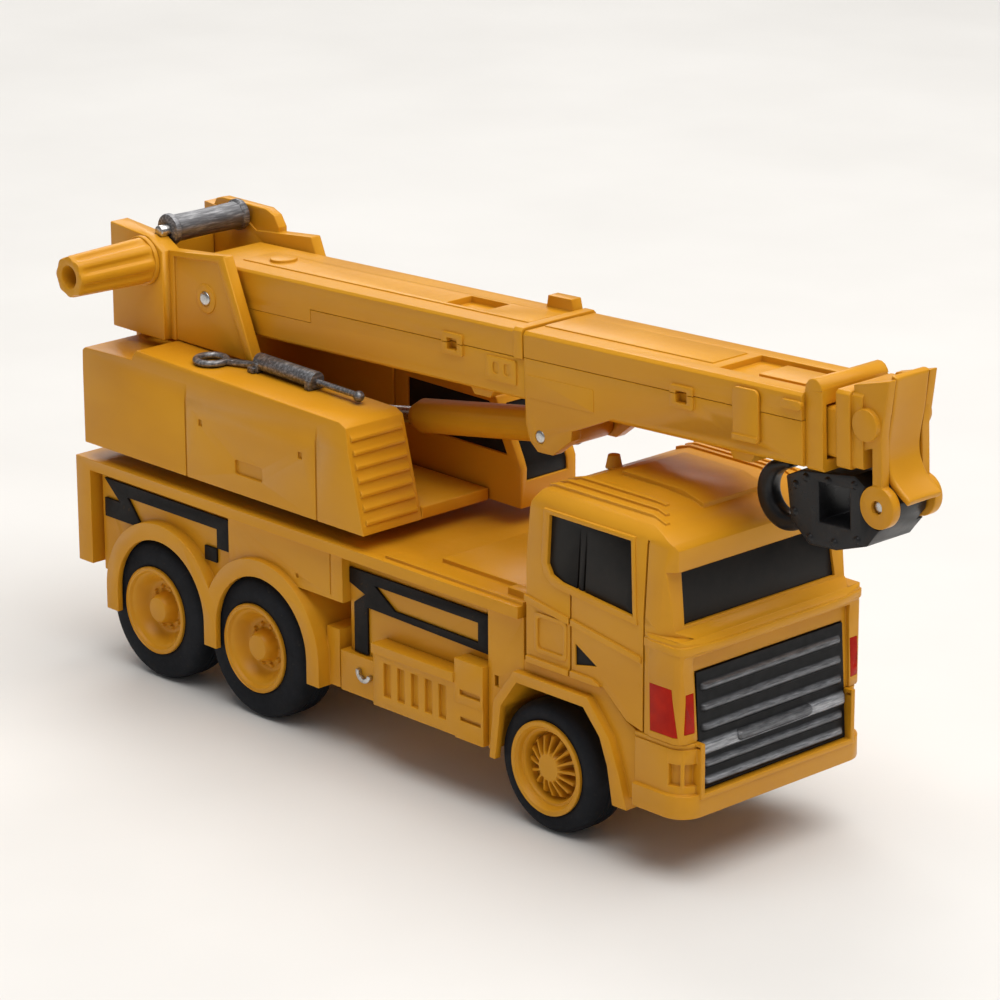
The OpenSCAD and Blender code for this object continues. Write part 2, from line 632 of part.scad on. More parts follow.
module side_details() {
  // Raised window frame, waist ridge, sill ledge and rear door panel
  intersection() {
    side_plate(frame_out, cab_y - 2.4, cab_y + 1);
    end_plate(cab_end(-0.25), cab_rear_x, front_x);
  }
  side_plate([[cab_rear_x + 0.6, deck_z + 2.4], [front_x - 9.1, deck_z - 1.2], [front_x - 9.1, deck_z - 2.2],
    [cab_rear_x + 0.6, deck_z + 1.3]], cab_y - 0.5, cab_y + 0.35);
  side_plate([[cab_rear_x + 1, cab_floor_z], [cab_rear_x + 1, cab_floor_z + 1],
    [front_axle_x + 10.4, cab_floor_z + 1],
    [front_axle_x + 12.2, cab_floor_z + 0.3], [front_axle_x + 12.2, cab_floor_z]], cab_y - 0.5, cab_y + 0.45);
  side_plate(round_rect(cab_rear_x + 2.6, cab_rear_x + 9.4, cab_floor_z + 2, deck_z + 0.2, 0.8),
    cab_y - 0.5, cab_y + 0.2);
}

module lamp_zones(x_out) {
  both_sides() {
    side_plate([[front_x - 7.1, chin_z + 1], [front_x - 1.9, chin_z + 1], [front_x - 2.9, chin_z + 8.2],
      [front_x - 7.3, chin_z + 8.2]], cab_y - 3.4, cab_y + 1);
    end_plate([[cab_y - 2.5, chin_z + 1.5], [cab_y - 0.7, chin_z + 1.5], [cab_y - 0.9, chin_z + 7.5],
      [cab_y - 2.5, chin_z + 7.5]], front_x - 6, x_out);
  }
}

module cab_shell() color(yellow) difference() {
  union() {
    cab_solid(0);
    both_sides() side_details();
    // Ledge wrapping round the nose
    intersection() {
      plan_plate(nose_plan(-0.2), nose_top_z - 2, nose_top_z - 0.8);
      box(front_x - 8.8, front_x, -half_w, half_w, sill_z, nose_top_z);
    }
    // Roof ribs and hatch
    both_sides() for (y = [11.2, 13.2, 15])
      intersection() {
        box(cab_rear_x + 2, visor_x - 4.5 - (15 - y), y - 0.45, y + 0.45, cab_top_z - 6, cab_top_z + 2);
        cab_solid(-0.35);
      }
    side_plate([[cab_rear_x + 8, cab_top_z - 1], [cab_rear_x + 8, cab_top_z + 0.6],
      [cab_rear_x + 20, cab_top_z + 0.5],
      [cab_rear_x + 24.5, cab_top_z - 0.6], [cab_rear_x + 24.5, cab_top_z - 1.4]], -6.5, 6.5);
    translate([cab_rear_x + 2.6, -2.8, cab_top_z - 1]) cylinder(r1 = 1.3, r2 = 0.9, h = 2);
  }
  // Hollow inside
  difference() {
    intersection() {
      cab_solid(wall);
      box(cab_rear_x + wall, front_x - 6, -half_w, half_w, cab_floor_z - 1, cab_top_z - wall - 1);
    }
    box(front_x - 14, front_x, -half_w, half_w, 0, cab_floor_z + 4.4);
  }
  door_lines();
  // Window pockets: the panes stand on the pocket floors
  both_sides() side_plate(window_out, cab_y - 1.5, cab_y + 1);
  end_plate(screen_out, screen_x - 2.2, visor_x - 0.05);
  both_sides() translate([0, cab_y + 1, 0]) rotate([90, 0, 0]) linear_extrude(height = 1.6) handle_outline();
  lamp_zones(front_x + 1);
  // Sunk field between the ledge and the grille
  intersection() {
    end_plate([[-grille_w / 2 - 0.4, sill_z], [-grille_w / 2 - 1.1, nose_top_z - 2.8],
      [grille_w / 2 + 1.1, nose_top_z - 2.8], [grille_w / 2 + 0.4, sill_z]], visor_x, front_x + 2);
    side_plate([[face_x(chin_z) - 0.4, chin_z - 1], [face_x(nose_top_z) - 0.8, nose_top_z],
      [front_x + 2, nose_top_z], [front_x + 2, chin_z - 1]], -half_w, half_w);
  }
  // Grille pocket
  side_plate([[face_x(grille_high_z + 0.2) - 1.1, grille_high_z + 0.2], [front_x + 2, grille_high_z + 0.2],
    [front_x + 2, sill_z], [face_x(sill_z) - 1.1, sill_z]], -grille_w / 2 - 0.1, grille_w / 2 + 0.1);
  // Recess of the rear door panel
  both_sides() side_plate(round_rect(cab_rear_x + 3.3, cab_rear_x + 8.7, cab_floor_z + 2.7, deck_z - 0.5,
    0.6),
    cab_y - 0.15, cab_y + 1);
}

module windscreen() color(black) difference() {
  end_plate(screen_out, screen_x - 2.15, visor_x);
  // The face leans back from foot to head
  side_plate([[screen_x - 0.45, screen_low_z], [visor_x + 2, screen_low_z], [visor_x + 2, screen_high_z + 1],
    [screen_x - 1.65, screen_high_z + 1]], -half_w, half_w);
}

module side_windows() color(black) both_sides() {
  difference() {
    intersection() {
      side_plate(window_out, cab_y - 1.45, cab_y + 1);
      end_plate(cab_end(0.3), cab_rear_x, front_x);
    }
    box(cab_rear_x + 11, cab_rear_x + 11.3, cab_y - 0.95, cab_y + 1, win_z - 12, win_z + 1);
    box(cab_rear_x + 12.3, cab_rear_x + 12.6, cab_y - 0.95, cab_y + 1, win_z - 12, win_z + 1);
  }
}

module door_handles() color(black) both_sides()
  translate([0, cab_y - 0.25, 0]) rotate([90, 0, 0]) linear_extrude(height = 0.33) handle_outline();

module headlamps() color(red) difference() {
  intersection() {
    lamp_zones(front_x + 1);
    plan_plate(nose_plan(-seat_gap), sill_z, cab_top_z);
    side_plate([[0, sill_z], [0, cab_top_z], [face_x(cab_top_z) + seat_gap, cab_top_z],
      [face_x(sill_z) + seat_gap, sill_z]],
      -half_w, half_w);
  }
  plan_plate(nose_plan(1.2), 0, cab_top_z + 5);
}

slat_rows = [14.9, 11.8, 8.8, 3.3, 0.6];
module grille() color(dark) {
  z0 = grille_low_z + 0.1;
  z1 = grille_high_z;
  x0 = face_x(z0);
  x1 = face_x(z1);
  side_plate([[x0 - 1.05, z0], [x0 - 0.45, z0], [x1 - 0.45, z1], [x1 - 1.05, z1]], -grille_w / 2,
    grille_w / 2);
  for (r = slat_rows) {
    z = z0 + 0.5 + r;
    x = face_x(z);
    side_plate([[x - 0.6, z - 0.75], [x - 0.2, z - 0.45], [x + 0.2, z + 0.3], [x + 0.1, z + 0.5],
      [x - 0.6, z + 0.6]],
      -grille_w / 2 + 0.7, grille_w / 2 - 0.7);
  }
  z = z0 + 6.2;
  x = face_x(z);
  side_plate([[x - 0.6, z - 0.9], [x + 0.15, z - 0.8], [x + 0.1, z + 0.8], [x - 0.6, z + 0.9]],
    -grille_w / 2 + 0.2, grille_w / 2 - 0.2);
  end_plate(round_rect(-7.6, 7.6, z - 0.7, z + 0.7, 0.6), x - 0.2, x + 0.55);
}

bumper_r = 3.8;
bumper_cx = front_x - bumper_r;
bumper_cy = half_w + 0.2 - bumper_r;
function bumper_plan(s) = concat(
  [[front_axle_x + 19.2, -(half_w + 0.2 - s)]],
  arc(bumper_cx, -bumper_cy, bumper_r - s, -90, 0, 8),
  arc(bumper_cx, bumper_cy, bumper_r - s, 0, 90, 8),
  [[front_axle_x + 19.2, half_w + 0.2 - s]]);

// Wedge of the bumper's corner between two angles, for the fog lamp windows.
module fog_window(a0, a1) {
  r = bumper_r + 1;
  translate([bumper_cx, bumper_cy, sill_z + 5]) linear_extrude(height = 3.3) difference() {
    polygon([[0, 0], [r * cos(a0), r * sin(a0)], [r * cos((a0 + a1) / 2), r * sin((a0 + a1) / 2)],
      [r * cos(a1), r * sin(a1)]]);
    circle(r = bumper_r - 1.5);
  }
}

module front_bumper() color(yellow) difference() {
  union() {
    plan_plate(bumper_plan(0), sill_z + 0.1, sill_z + 3.7);
    plan_plate(bumper_plan(0.6), sill_z + 3.7 - eps, chin_z - seat_gap);
    box(front_x - 3, front_x + 0.35, -grille_w / 2 - 0.9, grille_w / 2 + 0.9, grille_low_z - 0.9,
      chin_z - seat_gap);
  }
  box(front_axle_x + 15, front_x - 3.2, -half_w + 2.6, half_w - 2.6, 0, chin_z + 1);
  side_plate([[face_x(grille_high_z) - 1.1, grille_high_z], [front_x + 2, grille_high_z],
    [front_x + 2, grille_low_z], [face_x(grille_low_z) - 1.1, grille_low_z]], -grille_w / 2 - 0.1,
      grille_w / 2 + 0.1);
  both_sides() {
    fog_window(6, 40);
    fog_window(52, 86);
    // Shut line under the headlamps
    difference() {
      plan_plate(bumper_plan(0), chin_z - 0.9, chin_z - 0.6);
      plan_plate(bumper_plan(0.8), chin_z - 1, chin_z);
      box(0, front_x + 1, 0, grille_w / 2 + 1.2, 0, chin_z);
    }
  }
}

// ---------------------------------------------------------------- upper works
module upper_base() color(yellow) difference() {
  union() {
    box(house_rear_x + 2, house_front_x, -trench_y + seat_gap, trench_y - seat_gap, upper_z,
      upper_z + upper_floor_t);
    translate([slew_x, 0, deck_under_z - 0.8]) cylinder(r = spigot_r, h = upper_z - deck_under_z + 1);
    // Saddle for the foot of the lift cylinder
    both_sides() box(foot_x - 5.2, foot_x + 5.8, 2.4, 5.2, upper_z + 1, foot_z + 2.4);
  }
  box(foot_x - saddle_rear, foot_x + saddle_front, -5.3, 5.3, foot_z - foot_r - 0.8, foot_z + 3);
  translate([slew_x, 0, 0]) cylinder(r = 1, h = upper_z + 1);
}

module slew_screw() color(steel) translate([slew_x, 0, 0]) difference() {
  union() {
    translate([0, 0, deck_under_z - 1.8]) cylinder(r = spigot_r + 1.4, h = 1);
    translate([0, 0, deck_under_z - 1.8]) cylinder(r = 1, h = 5);
  }
  translate([-1.6, -0.25, 0]) cube([3.2, 0.5, deck_under_z - 1.3]);
}

// Side profile of a housing: low tail, long body and a raked, louvred front.
house_side = [
  [house_rear_x, upper_z], [house_rear_x, house_top_z - 2.2], [house_rear_x + 1, house_top_z - 1.4],
  [house_rear_x + 13, house_top_z - 1], [house_rear_x + 13.6, house_top_z + 0.5],
  [house_front_x - 5.8, house_top_z - 0.5], [house_front_x - 4.2, house_top_z - 1.2],
  [house_front_x, upper_z]
];

module housing(y0) color(yellow) difference() {
  union() {
    intersection() {
      side_plate(house_side, y0, house_y);
      plan_plate([[house_rear_x, y0], [house_rear_x, house_y - 0.8], [house_rear_x + 0.8, house_y],
        [house_front_x, house_y], [house_front_x + 1.4, y0]], upper_z, house_top_z + 2);
      end_plate([[y0, upper_z], [house_y, upper_z], [house_y, house_top_z - 5],
        [house_y - 0.5, house_top_z - 0.3],
        [house_y - 1, house_top_z + 0.5], [y0, house_top_z + 1.4]], house_rear_x - 1, house_front_x + 2);
    }
    // Louvres across the front
    for (i = [0:6]) {
      z = upper_z + 1.6 + i * 2.1;
      x = house_front_x - 4.2 * (z - upper_z) / (house_top_z - 1.2 - upper_z);
      side_plate([[x - 1, z - 0.2], [x + 0.35, z - 0.1], [x + 0.35, z + 0.4], [x - 0.6, z + 1.4],
        [x - 1.4, z + 1.4]],
        y0 + 0.8, house_y - 0.9);
    }
  }
  // Hollow, open below
  box(house_rear_x + wall, house_front_x - 6, y0 + wall, house_y - wall, upper_z - 1, house_top_z - 4);
  // Panel lines, vents and screw dimples
  for (x = [house_rear_x + 26.6, house_front_x - 11])
    box(x, x + seam, house_y - 0.3, half_w, upper_z - 1, house_top_z - 0.6);
  for (x = [house_rear_x + 30, house_front_x - 15])
    box(x, x + 0.9, house_y - 0.4, half_w, upper_z + 9.2, upper_z + 10.2);
  side_plate(round_rect(house_rear_x + 38.8, house_rear_x + 45.4, upper_z + 3.2, upper_z + 5.6, 0.4),
    house_y - 0.5, half_w);
}
module left_housing() difference() {
  housing(trench_y);
  // Seat of the operator's cab
  box(slew_x + 8.9, house_front_x + 5, 0, half_w, 0, house_top_z + 3);
}
module right_housing() mirror([0, 1, 0]) housing(trench_y);

// Gunmetal shackle and bar lying on the right housing's sloping top.
rig_slope = 1.15;
module stowed_rigging() color(dark)
  translate([house_rear_x + 27, 0, house_top_z + 0.25]) rotate([0, rig_slope, 0]) {
    translate([0, -13.7, 0.6]) rotate_extrude() translate([2.4, 0]) circle(r = 0.6, $fn = 20);
    translate([2.2, -13.2, 0.3]) rotate([0, 0, 24]) cube([6.4, 1, 0.8]);
    box(7.4, 8.8, -12.6, -9.4, 0.05, 0.9);
    translate([7.8, -10.4, 1.5]) rotate([0, 90, 0]) cylinder(r = 1.4, h = 14);
    for (x = [8, 20.4]) box(x, x + 1.2, -12, -8.9, 0.05, 1.6);
    translate([21.7, -10.4, 1.3]) rotate([0, 90, 0]) cylinder(r = 0.5, h = 9.5);
    translate([31.4, -10.4, 1.2]) sphere(r = 0.9);
  }

// Operator's cab on the left, ahead of the left housing.
op_x0 = slew_x + 9;
op_x1 = house_front_x + 7;
op_profile = [
  [op_x0, upper_z + seat_gap], [op_x0, house_top_z - 0.4], [op_x0 + 2, house_top_z + 0.6],
    [op_x1 - 7.4, house_top_z + 0.6],
  [op_x1 - 5.6, house_top_z - 0.4], [op_x1 - 0.6, upper_z + 7.8], [op_x1, upper_z + 6.4],
    [op_x1, upper_z + seat_gap]
];
op_front_window = [
  [trench_y + 1.6, upper_z + 4.4], [house_y - 1.8, upper_z + 4.4], [house_y - 2.4, house_top_z - 1.6],
  [trench_y + 2, house_top_z - 1.6]
];
op_side_window = [
  [op_x0 + 3, upper_z + 8.2], [op_x1 - 3.2, upper_z + 8.2], [op_x1 - 7.2, house_top_z - 1.4],
    [op_x0 + 3, house_top_z - 1.4]
];
module op_side_panes(y0, y1) {
  side_plate(op_side_window, house_y - y1, house_y - y0);
  side_plate(op_side_window, trench_y + 0.3 + y0, trench_y + 0.3 + y1);
}

// The front pane is a slice of the cab's own profile, set back from its face.
module op_front_pane(back, t) intersection() {
  end_plate(op_front_window, op_x1 - 10, op_x1 + 1);
  difference() {
    translate([-back, 0, 0]) side_plate(op_profile, 0, half_w);
    translate([-back - t, 0, 0]) side_plate(op_profile, -1, half_w + 1);
  }
}

module operator_cab() color(yellow) difference() {
  side_plate(op_profile, trench_y + 0.3, house_y);
  box(op_x0 + wall, op_x1 - 3.4, trench_y + 0.3 + wall, house_y - wall, upper_z - 1, upper_z + 3.6);
  op_front_pane(-1, 1.8);
  op_side_panes(-1, 0.8);
  for (x = [op_x0 + 13, op_x0 + 2]) box(x, x + seam, house_y - 0.3, half_w + 1, upper_z - 1, upper_z + 7.4);
}

module operator_window() color(black) {
  difference() {
    op_front_pane(0.35, 0.4);
    side_plate(op_side_window, 0, half_w);
  }
  op_side_panes(0.4, 0.75);
}

// Tower: two side plates with rear blocks, joined by a back wall.
module tower_side() color(yellow) difference() {
  union() {
    side_plate([[tower_rear_x, house_top_z + 0.6], [tower_rear_x, drum_z + 0.4], [pivot_x - 12, drum_z - 0.4],
      [pivot_x - 8.6, tower_top_z - 1.2], [pivot_x - 8.6, house_top_z + 0.6]], plate_in_y, block_out_y);
    difference() {
      side_plate([[pivot_x - 8.7, house_top_z + 0.6], [pivot_x - 8.7, tower_top_z - 1.2],
        [pivot_x + 5, tower_top_z + 0.2],
        [pivot_x + 12, house_top_z + 0.6]], plate_in_y, plate_out_y);
      // Sunk field between the raised rims
      side_plate([[pivot_x - 7.4, house_top_z], [pivot_x - 7.4, tower_top_z - 2],
        [pivot_x + 3.4, tower_top_z - 1],
        [pivot_x + 10.4, house_top_z]], plate_out_y - 0.45, plate_out_y + 1);
    }
    cross_pin(pivot_x, pivot_z, 2.4, plate_out_y - 0.6, plate_out_y - 0.2);
  }
  cross_pin(pivot_x, pivot_z, pivot_r, 0, half_w);
  cross_pin(drum_x, drum_z, 1, 0, plate_in_y + 1.6);
}
module tower_left() {
  tower_side();
  // Raised guard behind the drum's far end
  color(yellow) difference() {
    side_plate([[drum_x - 8, drum_z - 0.6], [drum_x - 7, drum_z + 1.3], [drum_x - 5.4, drum_z + 1.7],
      [drum_x + 5.6, drum_z + 1.7], [drum_x + 7.6, drum_z + 0.9], [drum_x + 8.8, drum_z - 0.9],
      [drum_x + 8.8, drum_z - 3], [drum_x - 8, drum_z - 3]], plate_in_y + 0.3, plate_out_y);
    cross_pin(drum_x, drum_z, 1, 0, plate_in_y + 1.6);
  }
}
module tower_right() mirror([0, 1, 0]) tower_side();
module tower_back() color(yellow) difference() {
  union() {
    box(tower_rear_x, tower_rear_x + 2.5, -trench_y + seat_gap, trench_y - seat_gap, upper_z,
      house_top_z + 1);
    box(tower_rear_x, tower_rear_x + 2.5, -plate_in_y + seat_gap, plate_in_y - seat_gap, house_top_z + 0.6,
      drum_z - drum_r - 2);
    box(tower_rear_x + 2, tower_rear_x + 6, -plate_in_y + seat_gap, plate_in_y - seat_gap, house_top_z + 0.6,
      house_top_z + 2.4);
  }
  for (z = [house_top_z + 4, house_top_z + 7.5]) box(tower_rear_x - 1, tower_rear_x + 0.4, -6, 6, z, z + 1.4);
}

// Hollow fluted boss on the right side of the tower.
module side_boss() color(yellow)
  translate([boss_x, -block_out_y, boss_z]) rotate([90, 0, 0]) difference() {
    union() {
      rotate([0, 0, 22.5]) cylinder(r1 = 3.95, r2 = 3.5, h = boss_len, $fn = 8);
      cylinder(r = 4.1, h = 0.8);
      for (i = [0:7]) rotate([0, 0, i * 45]) translate([1, -0.6, 0.5]) cube([2.45, 1.2, boss_len - 1.2]);
    }
    translate([0, 0, 2]) cylinder(r = boss_bore_r, h = boss_len);
  }

module boom_pivot_pin() color(steel) {
  cross_pin(pivot_x, pivot_z, pivot_r, -plate_out_y - 0.1, plate_out_y + 0.1);
}
module winch_spindle() color(steel) cross_pin(drum_x, drum_z, 1, -plate_in_y - 1.5, plate_in_y + 1.5);
module winch_drum() color(dark) difference() {
  union() {
    cross_pin(drum_x, drum_z, drum_r - 0.4, -plate_in_y + 0.4, plate_in_y - 0.4);
    for (y = [-plate_in_y + 0.4, plate_in_y - 1.6]) cross_pin(drum_x, drum_z, drum_r, y, y + 1.2);
  }
  cross_pin(drum_x, drum_z, 1 + pin_gap, -plate_in_y, plate_in_y);
}

// ---------------------------------------------------------------- boom
// Box section of the boom between two stations, from w0 to w1, with soft top edges.
module boom_bar(u0, u1, y, w0, w1, c0, c1) end_plate([
  [-y, w0 + c0], [-y + c0, w0], [y - c0, w0], [y, w0 + c0], [y, w1 - c1], [y - c1, w1], [-y + c1, w1],
    [-y, w1 - c1]], u0, u1);

// Square clip on the boom's side: a raised frame around a sunk hole, across the parting seam.
clip_u = [55.4, 103.8];
clip_w = 1.05;
module clip_frame(u, y, w0, w1) both_sides() intersection() {
  difference() {
    side_plate(round_rect(u - 2.3, u + 2.3, clip_w - 1.7, clip_w + 1.7, 0.4), y - 0.1, y + 0.4);
    side_plate(round_rect(u - 1.1, u + 1.1, clip_w - 0.9, clip_w + 0.9, 0.2), y - 1, y + 1);
  }
  box(u - 3, u + 3, 0, y + 1, w0, w1);
}
module clip_hole(u, y) both_sides()
  side_plate(round_rect(u - 1.1, u + 1.1, clip_w - 0.9, clip_w + 0.9, 0.2), y - 0.6, y + 1);

seam_gap = 0.05;
module rear_boom_lower() color(yellow) in_boom() difference() {
  union() {
    boom_bar(boom_rear_u, step_u, boom_y, boom_low_w, rear_seam_w - seam_gap, 0.4, 0);
    boom_bar(step_u - eps, split_u - 0.1, boom_y, boom_low_w, mid_seam_w - seam_gap, 0.4, 0);
    // Foot under the boom
    side_plate([[57.6, boom_low_w + eps], [58.6, boom_low_w - 1.3], [62, boom_low_w - 1.3],
      [63, boom_low_w + eps]], -boom_y + 1, boom_y - 1);
    clip_frame(clip_u[0], boom_y, boom_low_w, mid_seam_w - seam_gap);
    both_sides() difference() {
      side_plate(round_rect(62.6, 69.2, -3.2, 0.6, 0.4), boom_y - 0.1, boom_y + 0.3);
      for (u = [64.2, 66.6]) side_plate(round_rect(u, u + 1.2, -2, -0.2, 0.5), boom_y + 0.05, boom_y + 1);
    }
  }
  clip_hole(clip_u[0], boom_y);
  box(10, split_u + 1, -cavity_y, cavity_y, cavity_low_w, 10);
  cross_pin(0, 0, pivot_r + pin_gap, -10, 10);
}

module rear_boom_upper() color(yellow) in_boom() difference() {
  union() {
    boom_bar(boom_rear_u, step_u - seam_gap, boom_y, rear_seam_w + 2.2, boom_top_w, 0, 0.4);
    boom_bar(boom_rear_u, step_u - seam_gap, boom_y, rear_seam_w, rear_seam_w + 2.3, 0, 0);
    boom_bar(step_u - seam_gap - eps, split_u - 0.1, boom_y, mid_seam_w, boom_top_w, 0, 0.4);
    // Collar band, top strip and oval pad
    boom_bar(split_u - 2, split_u - 0.1, boom_y + 0.5, mid_seam_w, boom_top_w + 0.5, 0, 0.5);
    box(2, split_u - 3, -3.4, 3.4, boom_top_w - 0.2, boom_top_w + 0.2);
    translate([8, 0, boom_top_w]) cylinder(r = 2.2, h = 0.7);
    clip_frame(clip_u[0], boom_y, mid_seam_w, boom_top_w);
    // Latch tab on the left edge
    side_plate([[62.4, boom_top_w - 0.4], [62.9, boom_top_w + 1.9], [67.9, boom_top_w + 1.9],
      [68.4, boom_top_w - 0.4]], boom_y - 1.8, boom_y + 0.3);
  }
  clip_hole(clip_u[0], boom_y);
  box(10, split_u + 1, -cavity_y, cavity_y, -10, cavity_top_w);
  cross_pin(0, 0, pivot_r + pin_gap, -10, 10);
  box(49, 57.5, -2.6, 2.6, boom_top_w - 0.9, boom_top_w + 1);
}

lug_outline = [
  [split_u, boom_low_w + 0.6], [split_u, lug_w + 1.6], [split_u + 0.7, lug_w - 0.9],
    [split_u + 2.4, lug_w - 2.4],
  [split_u + 5.6, lug_w - 2.4], [split_u + 9.6, lug_w + 0.5], [split_u + 9.8, lug_w + 2],
    [split_u + 19, boom_low_w + 0.6]
];
clasp_outline = concat([[114, -2.9], [119, -2.9]], arc(118, 3.6, 1, 0, 90, 4), arc(115, 3.6, 1, 90, 180, 4));
module front_boom_lower() color(yellow) in_boom() difference() {
  union() {
    boom_bar(split_u, flange_u - seat_gap, boom_y + proud, boom_low_w, front_seam_w - seam_gap, 0.4, 0);
    both_sides() side_plate(lug_outline, ear_in_y, boom_y + proud);
    both_sides() side_plate(round_rect(split_u + 0.6, split_u + 14.6, boom_low_w + 0.7, -1, 0.3), boom_y,
      boom_y + proud + 0.12);
    side_plate([[111.4, boom_low_w + eps], [112.2, boom_low_w - 1.6], [115.8, boom_low_w - 1.6],
      [116.6, boom_low_w + eps]], -boom_y + 1, boom_y - 1);
    // Rounded clasp over the seam, with a lip along its foot
    both_sides() side_plate(clasp_outline, boom_y + proud + seat_gap, boom_y + proud + 0.6);
    both_sides() side_plate([[114, -2.9], [118.6, -2.9], [119, -2.2], [119, 1], [114, 1]], boom_y,
      boom_y + proud + 0.3);
    both_sides() side_plate([[114, -3.1], [118.7, -3.1], [119, -2.2], [114, -2.2]], boom_y,
      boom_y + proud + 0.9);
    clip_frame(clip_u[1], boom_y + proud, boom_low_w, front_seam_w - seam_gap);
  }
  clip_hole(clip_u[1], boom_y + proud);
  box(split_u - 1, boom_len, -cavity_y, cavity_y, cavity_low_w, 10);
  cross_pin(lug_u, lug_w, lift_pin_r, -10, 10);
}

module front_boom_upper() color(yellow) in_boom() difference() {
  union() {
    boom_bar(split_u, flange_u - seat_gap, boom_y + proud, front_seam_w, boom_top_w + 0.1, 0, 0.5);
    box(split_u + 0.5, 106, -3.6, 3.6, boom_top_w - 0.2, boom_top_w + 0.3);
    clip_frame(clip_u[1], boom_y + proud, front_seam_w, boom_top_w);
    both_sides() side_plate(round_rect(123.2, 127, 3, 4.3, 0.5), boom_y, boom_y + proud + 0.5);
  }
  clip_hole(clip_u[1], boom_y + proud);
  box(split_u - 1, boom_len, -cavity_y, cavity_y, -10, cavity_top_w);
  // Recess in the top, with a block left standing in it
  difference() {
    box(108, flange_u - 2, -4.4, 4.4, boom_top_w - 0.9, boom_top_w + 2);
    box(114, flange_u - 1, -2.6, 3.4, boom_top_w - 2, boom_top_w - 0.2);
  }
}

module boom_flange() color(yellow) in_boom() difference() {
  union() {
    boom_bar(flange_u, boom_len, flange_y, boom_low_w - 0.4, boom_top_w + 0.9, 0.4, 0.4);
    side_plate(concat([[flange_u, boom_top_w + 0.2]], arc(boom_len - 1.6, boom_top_w + 0.7, 1.6, 0, 150, 6)),
      -flange_y, flange_y);
  }
  box(flange_u - 1, boom_len + 1, -cavity_y, cavity_y, cavity_low_w, cavity_top_w);
}

module boom_screws() color(steel) in_boom()
  for (u = [16, 46, 90, 121]) translate([u, 0, boom_low_w - 0.35]) difference() {
    cylinder(r = 1.3, h = 0.35);
    translate([-1.5, -0.2, -0.1]) cube([3, 0.4, 0.3]);
  }

module lift_pin() color(steel) in_boom() cross_pin(lug_u, lug_w, lift_pin_r, -boom_y - proud - 0.15,
  boom_y + proud + 0.15);

// The lift cylinder is drawn along its own axis, from the lug pin back to its foot.
module in_lift() translate([lug_x, 0, lug_z]) rotate([0, 180 - lift_rise, 0]) children();

module lift_barrel() color(yellow) in_lift() difference() {
  union() {
    rotate([90, 0, 0]) cylinder(r = 2.5, h = 2 * (ear_in_y - free_gap), center = true);
    rotate([0, 90, 0]) cylinder(r = barrel_r, h = barrel_len - 2);
    translate([barrel_len - 2, 0, 0]) rotate([0, 90, 0]) cylinder(r1 = barrel_r, r2 = barrel_r - 0.9, h = 2);
    translate([3.4, 0, 0]) rotate([0, 90, 0]) cylinder(r = barrel_r + 0.3, h = 1.6);
  }
  rotate([90, 0, 0]) cylinder(r = lift_pin_r + pin_gap, h = 30, center = true);
  translate([barrel_len - rod_in - 0.6, 0, 0]) rotate([0, 90, 0])
    cylinder(r = rod_r + pin_gap, h = rod_in + 5);
}

module lift_rod() color(steel) in_lift() {
  translate([barrel_len - rod_in, 0, 0]) rotate([0, 90, 0])
    cylinder(r = rod_r, h = lift_len - barrel_len + rod_in);
  translate([lift_len, 0, 0]) rotate([90, 0, 0]) cylinder(r = foot_r, h = 2 * foot_half, center = true);
}

// ---------------------------------------------------------------- telescoping head
module inner_boom() color(yellow) in_boom() difference() {
  boom_bar(inner_rear_u, head_u, inner_y, inner_low_w, inner_top_w, 0.4, 0.4);
  box(inner_rear_u + 3, head_u - 3, -inner_y + 1.2, inner_y - 1.2, inner_low_w + 1.2, inner_top_w - 1.2);
}

module head_block() color(yellow) in_boom() difference() {
  union() {
    boom_bar(head_u + seat_gap, head_u + 2.6, head_y, -4.6, 6.6, 0.3, 0.5);
    boom_bar(head_u + 2.5, head_u + 4.5, head_y - 0.6, -4.4, 6.4, 0.3, 0.4);
    both_sides() {
      // Cheek with its boss, and the leg and eyelet that carry the hook pin
      side_plate([[head_u + 2.6, 7.5], [head_u + 9.1, 9], [head_u + 8.2, 3.8], [head_u + 7.3, -0.8],
        [head_u + 2.6, -2]], cheek_in_y, cheek_out_y);
      cross_pin(head_u + 5.1, 2.2, 2.3, cheek_in_y + 1, head_y - 0.2);
      box(hinge_u - 0.9, hinge_u + 0.9, cheek_in_y + seat_gap, eye_out_y - 0.2, hinge_w, 1.2);
      cross_pin(hinge_u, hinge_w, eye_r, eye_in_y, eye_out_y);
    }
  }
  cross_pin(hinge_u, hinge_w, hook_pin_r, -10, 10);
}

// Curved guard: an upright shell that is hollow to the front and flares out at its foot.
guard_front = [
  [head_u + 9.1, 9], [head_u + 8.4, 4.2], [head_u + 7.6, 0.4], [head_u + 7.3, -2], [head_u + 7.6, -4],
  [head_u + 8.8, -6], [head_u + 11.2, -8]
];
guard_back = [
  [head_u + 10.6, -8.9], [head_u + 7.9, -6.9], [head_u + 6.6, -4.8], [head_u + 6.1, -2], [head_u + 6.4, 0.6],
  [head_u + 7.2, 4.6], [head_u + 7.9, 9.4]
];
module head_guard() color(yellow) in_boom() difference() {
  side_plate(concat(guard_front, guard_back), -cheek_in_y + seat_gap, cheek_in_y - seat_gap);
  cross_pin(hinge_u, hinge_w, knuckle_r + free_gap, -10, 10);
  both_sides() cross_pin(hinge_u, hinge_w, eye_r + seat_gap, eye_in_y - seat_gap, 10);
}

module hook_pin() color(steel) in_boom() cross_pin(hinge_u, hinge_w, hook_pin_r, -eye_out_y + 0.5,
  eye_out_y - 0.5);

